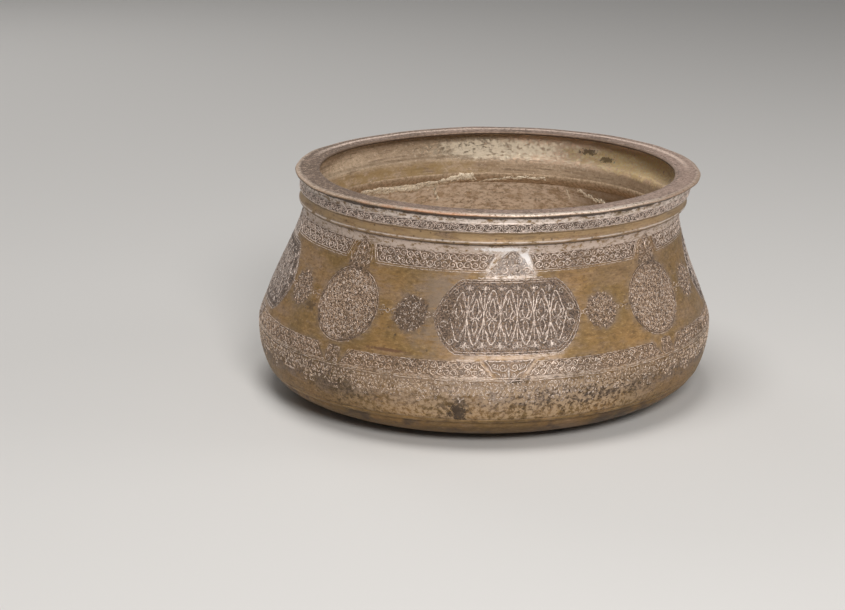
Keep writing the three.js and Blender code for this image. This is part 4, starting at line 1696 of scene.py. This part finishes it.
def knot_drawing():
    quarter = [
        curl((2.0, 2.0), 1.5, 225, -1.3, 0.5, 0.25, 11), leaf((0.4, 0.4), (1.2, 1.2), 0.7),
        smooth([(0.4, 3.2), (2.4, 4.0), (3.6, 3.6), (4.0, 2.4), (3.2, 0.4)], 0.45)]
    return [dot((0, 0), 1.0)] + all_round(quarter, 4)


engrave("pendent_motifs", pendent_drawing(), LOWER_TOP + 0.4, bright_strokes)
engrave("knots", knot_drawing(), LOWER_MIDDLE, soft_strokes, BY_MEDALLION)

# %% [markdown]
# ## The hem under the lower border
# Small curls hang under the border in staggered rows, which narrow downwards to points, so
# that the hem has a ragged foot. One quarter turn of it is drawn with seeded dice, because no
# two curls were cut alike, and Geometry Nodes repeat it four times.

# %% Hem
HEM_POINTS, HEM_PITCH, HEM_SEED = 11, 2.0, 7


def hem_drawing(length):
    """A quarter turn of small curls and ticks under two ruled lines."""
    dice = np.random.default_rng(HEM_SEED)
    lines = [rule(-length / 2, length / 2, 0.4, 0.42, 3.0), rule(-length / 2, length / 2, 1.6, 0.36, 3.0)]
    columns = round(length / HEM_PITCH)
    for column in range(columns):
        x_middle = ((column + 0.5) / columns - 0.5) * length
        foot = 8.2 + 2.4 * math.cos(2 * math.pi * HEM_POINTS * column / columns) + dice.uniform(-1.6, 1.6)
        for row in range(int(foot / HEM_PITCH) + 1):
            x = x_middle + dice.uniform(-0.5, 0.5) + HEM_PITCH / 2 * (row % 2)
            y = -1.4 - row * HEM_PITCH + dice.uniform(-0.5, 0.5)
            width = dice.uniform(0.34, 0.62)
            if dice.random() < 0.68:
                turns = dice.choice([-1, 1]) * dice.uniform(0.7, 1.2)
                radius, start = dice.uniform(0.7, 1.15), dice.uniform(0, 360)
                lines.append(curl((x, y), radius, start, turns, width, 0.25, 8))
            else:
                lean = dice.uniform(-0.9, 0.9)
                lines.append(leaf((x - lean, y + 0.9), (x + lean, y - 0.9), width * 1.5, 0.2, 5))
    return lines


hem_length = QUARTER * millimetres_per_degree(PENDANT_TOP)
engrave("hem", hem_drawing(hem_length), PENDANT_TOP - 0.6, hem_strokes, radius=radius_at(PENDANT_TOP))

# %% [markdown]
# ## The neck's engraved band
# The band on the neck is a finer scroll, with leaves, between two ruled lines. It lies on the
# neck's profile instead of the bowl's, and is otherwise made in the same way.

# %% Neck band
NECK_BAYS = 20


def neck_drawing(bay):
    high = (BAND_FOOT - BAND_TOP) / 2
    vine = scroll(2, bay, high * 2 - 1.3, 0.46, turns=1.3)
    return vine + [rule(0, bay * 2, high - 0.2, 0.42), rule(0, bay * 2, -high + 0.2, 0.42)]


neck_face_radius = float(neck_face((BAND_TOP + BAND_FOOT) / 2))
neck_bay = math.radians(QUARTER) * neck_face_radius / (NECK_BAYS * 2)
engrave("neck_band", neck_drawing(neck_bay), (BAND_FOOT - BAND_TOP) / 2, neck_strokes, profile=NECK_PROFILE,
        radius=neck_face_radius, units=NECK_BAYS, unit_step=neck_bay * 2)

# %% [markdown]
# ## The limescale inside
# A hard, whitish crust runs along the back of the bowl just under the lap, where water stood,
# with a few flakes and scratches round it. It is thick enough to cast a shadow, so it is made as
# lumpy strokes that Geometry Nodes lay on the inner face of the wall, whose profile runs down.

# %% Limescale
BELOW_BEAD = np.linspace(length_at(BEAD_FOOT), length_at(BELLY_HEIGHT), 80)
CRUST_POINTS = np.vstack([
    [(SKIRT_INNER - 0.05, HEIGHT - depth) for depth in (19.0, 23.0, SKIRT_DEPTH - 1.2)],
    bead_front(0.07)[:-1], on_bowl(BELOW_BEAD, WALL_SHEET + 0.05)])
CRUST_DOWN = running_length(CRUST_POINTS)
CRUST_RADIUS = 107.0
CRUST_FLAKES = 60
CRUST_RUNS = (
    # places as azimuth and depth, width, strands and how far they spread
    ([(226, 33.4), (221, 33.6), (215, 34.2), (206, 34.4), (201, 33.2), (194.5, 32.0), (190, 29.9),
      (186, 28.9)], 3.2, 6, 1.3),
    ([(197, 34.0), (197.5, 38.0), (196, 42.5)], 2.6, 4, 0.7),
    ([(195, 30.6), (190, 28.4), (185.5, 27.6)], 2.6, 3, 0.6),
    ([(186, 29), (184.4, 31), (186, 32.6)], 1.6, 2, 0.4),
    ([(183, 32.4), (176, 30.6), (168, 28.8), (161, 28.9)], 1.8, 3, 0.6),
    ([(154, 35.0), (153, 41.0)], 1.1, 2, 0.6),
    ([(150, 34.0), (146, 38.0), (141, 40.0)], 1.2, 3, 0.9),
    ([(142, 39.0), (140, 41.5)], 2.2, 3, 0.8),
)


def crust_place(azimuth, depth):
    """Flat place of an azimuth and a depth on the inner face; azimuths go on past 180."""
    across = math.radians(azimuth) * CRUST_RADIUS
    return across, float(np.interp(depth, HEIGHT - CRUST_POINTS[:, 1], CRUST_DOWN))


def crust_run(path, width, strands, spread):
    """Several lumpy strands that wander along one path."""
    places = np.array([crust_place(*spot) for spot in path])
    along = smooth(places, 1.0, steps=10 * len(path))[0]
    count = np.arange(len(along))
    lines = []
    for strand in range(strands):
        aside = spread * np.sin(1.7 * count + 2.1 * strand) + spread * np.sin(0.61 * count + strand)
        lumps = np.sin(1.13 * count + 1.9 * strand) * np.sin(0.37 * count + strand)
        half = np.maximum(width / 2 * (0.54 + 0.46 * lumps), 0.12)
        lines.append((along + np.column_stack([0 * aside, aside]), half))
    return lines


def crust_flake(index):
    azimuth = 165 + 66 * ((0.618 * index) % 1)
    depth = 26 + 17 * ((0.381 * index + 0.3 * math.sin(index)) % 1)
    x, y = crust_place(azimuth, depth)
    tip = (x + 1.0 + math.sin(index), y + 0.5 * math.sin(3 * index))
    return leaf((x, y), tip, 0.5 + 0.3 * math.sin(2 * index))


def crust_finish():
    f = Finish("limescale")
    lumps = f.noise(1.4, detail=6.0, rough=0.75)
    return f.finish(f.mix(lumps.fade(0.51, 0.60), LIME, TIN_BROWN), 0.75, lumps * 0.8, 0.0)


CRUST_PROFILE = profile_curve("inner profile", CRUST_POINTS)
crust = [line for run in CRUST_RUNS for line in crust_run(*run)]
crust += [crust_flake(index) for index in range(CRUST_FLAKES)]
engrave("limescale_run", crust, 0.0, crust_finish(), 0.0, CRUST_PROFILE, CRUST_RADIUS, panels=1)

# %% Remove the profile curves
for profile in (BOWL_PROFILE, NECK_PROFILE, CRUST_PROFILE):
    bpy.data.objects.remove(profile)
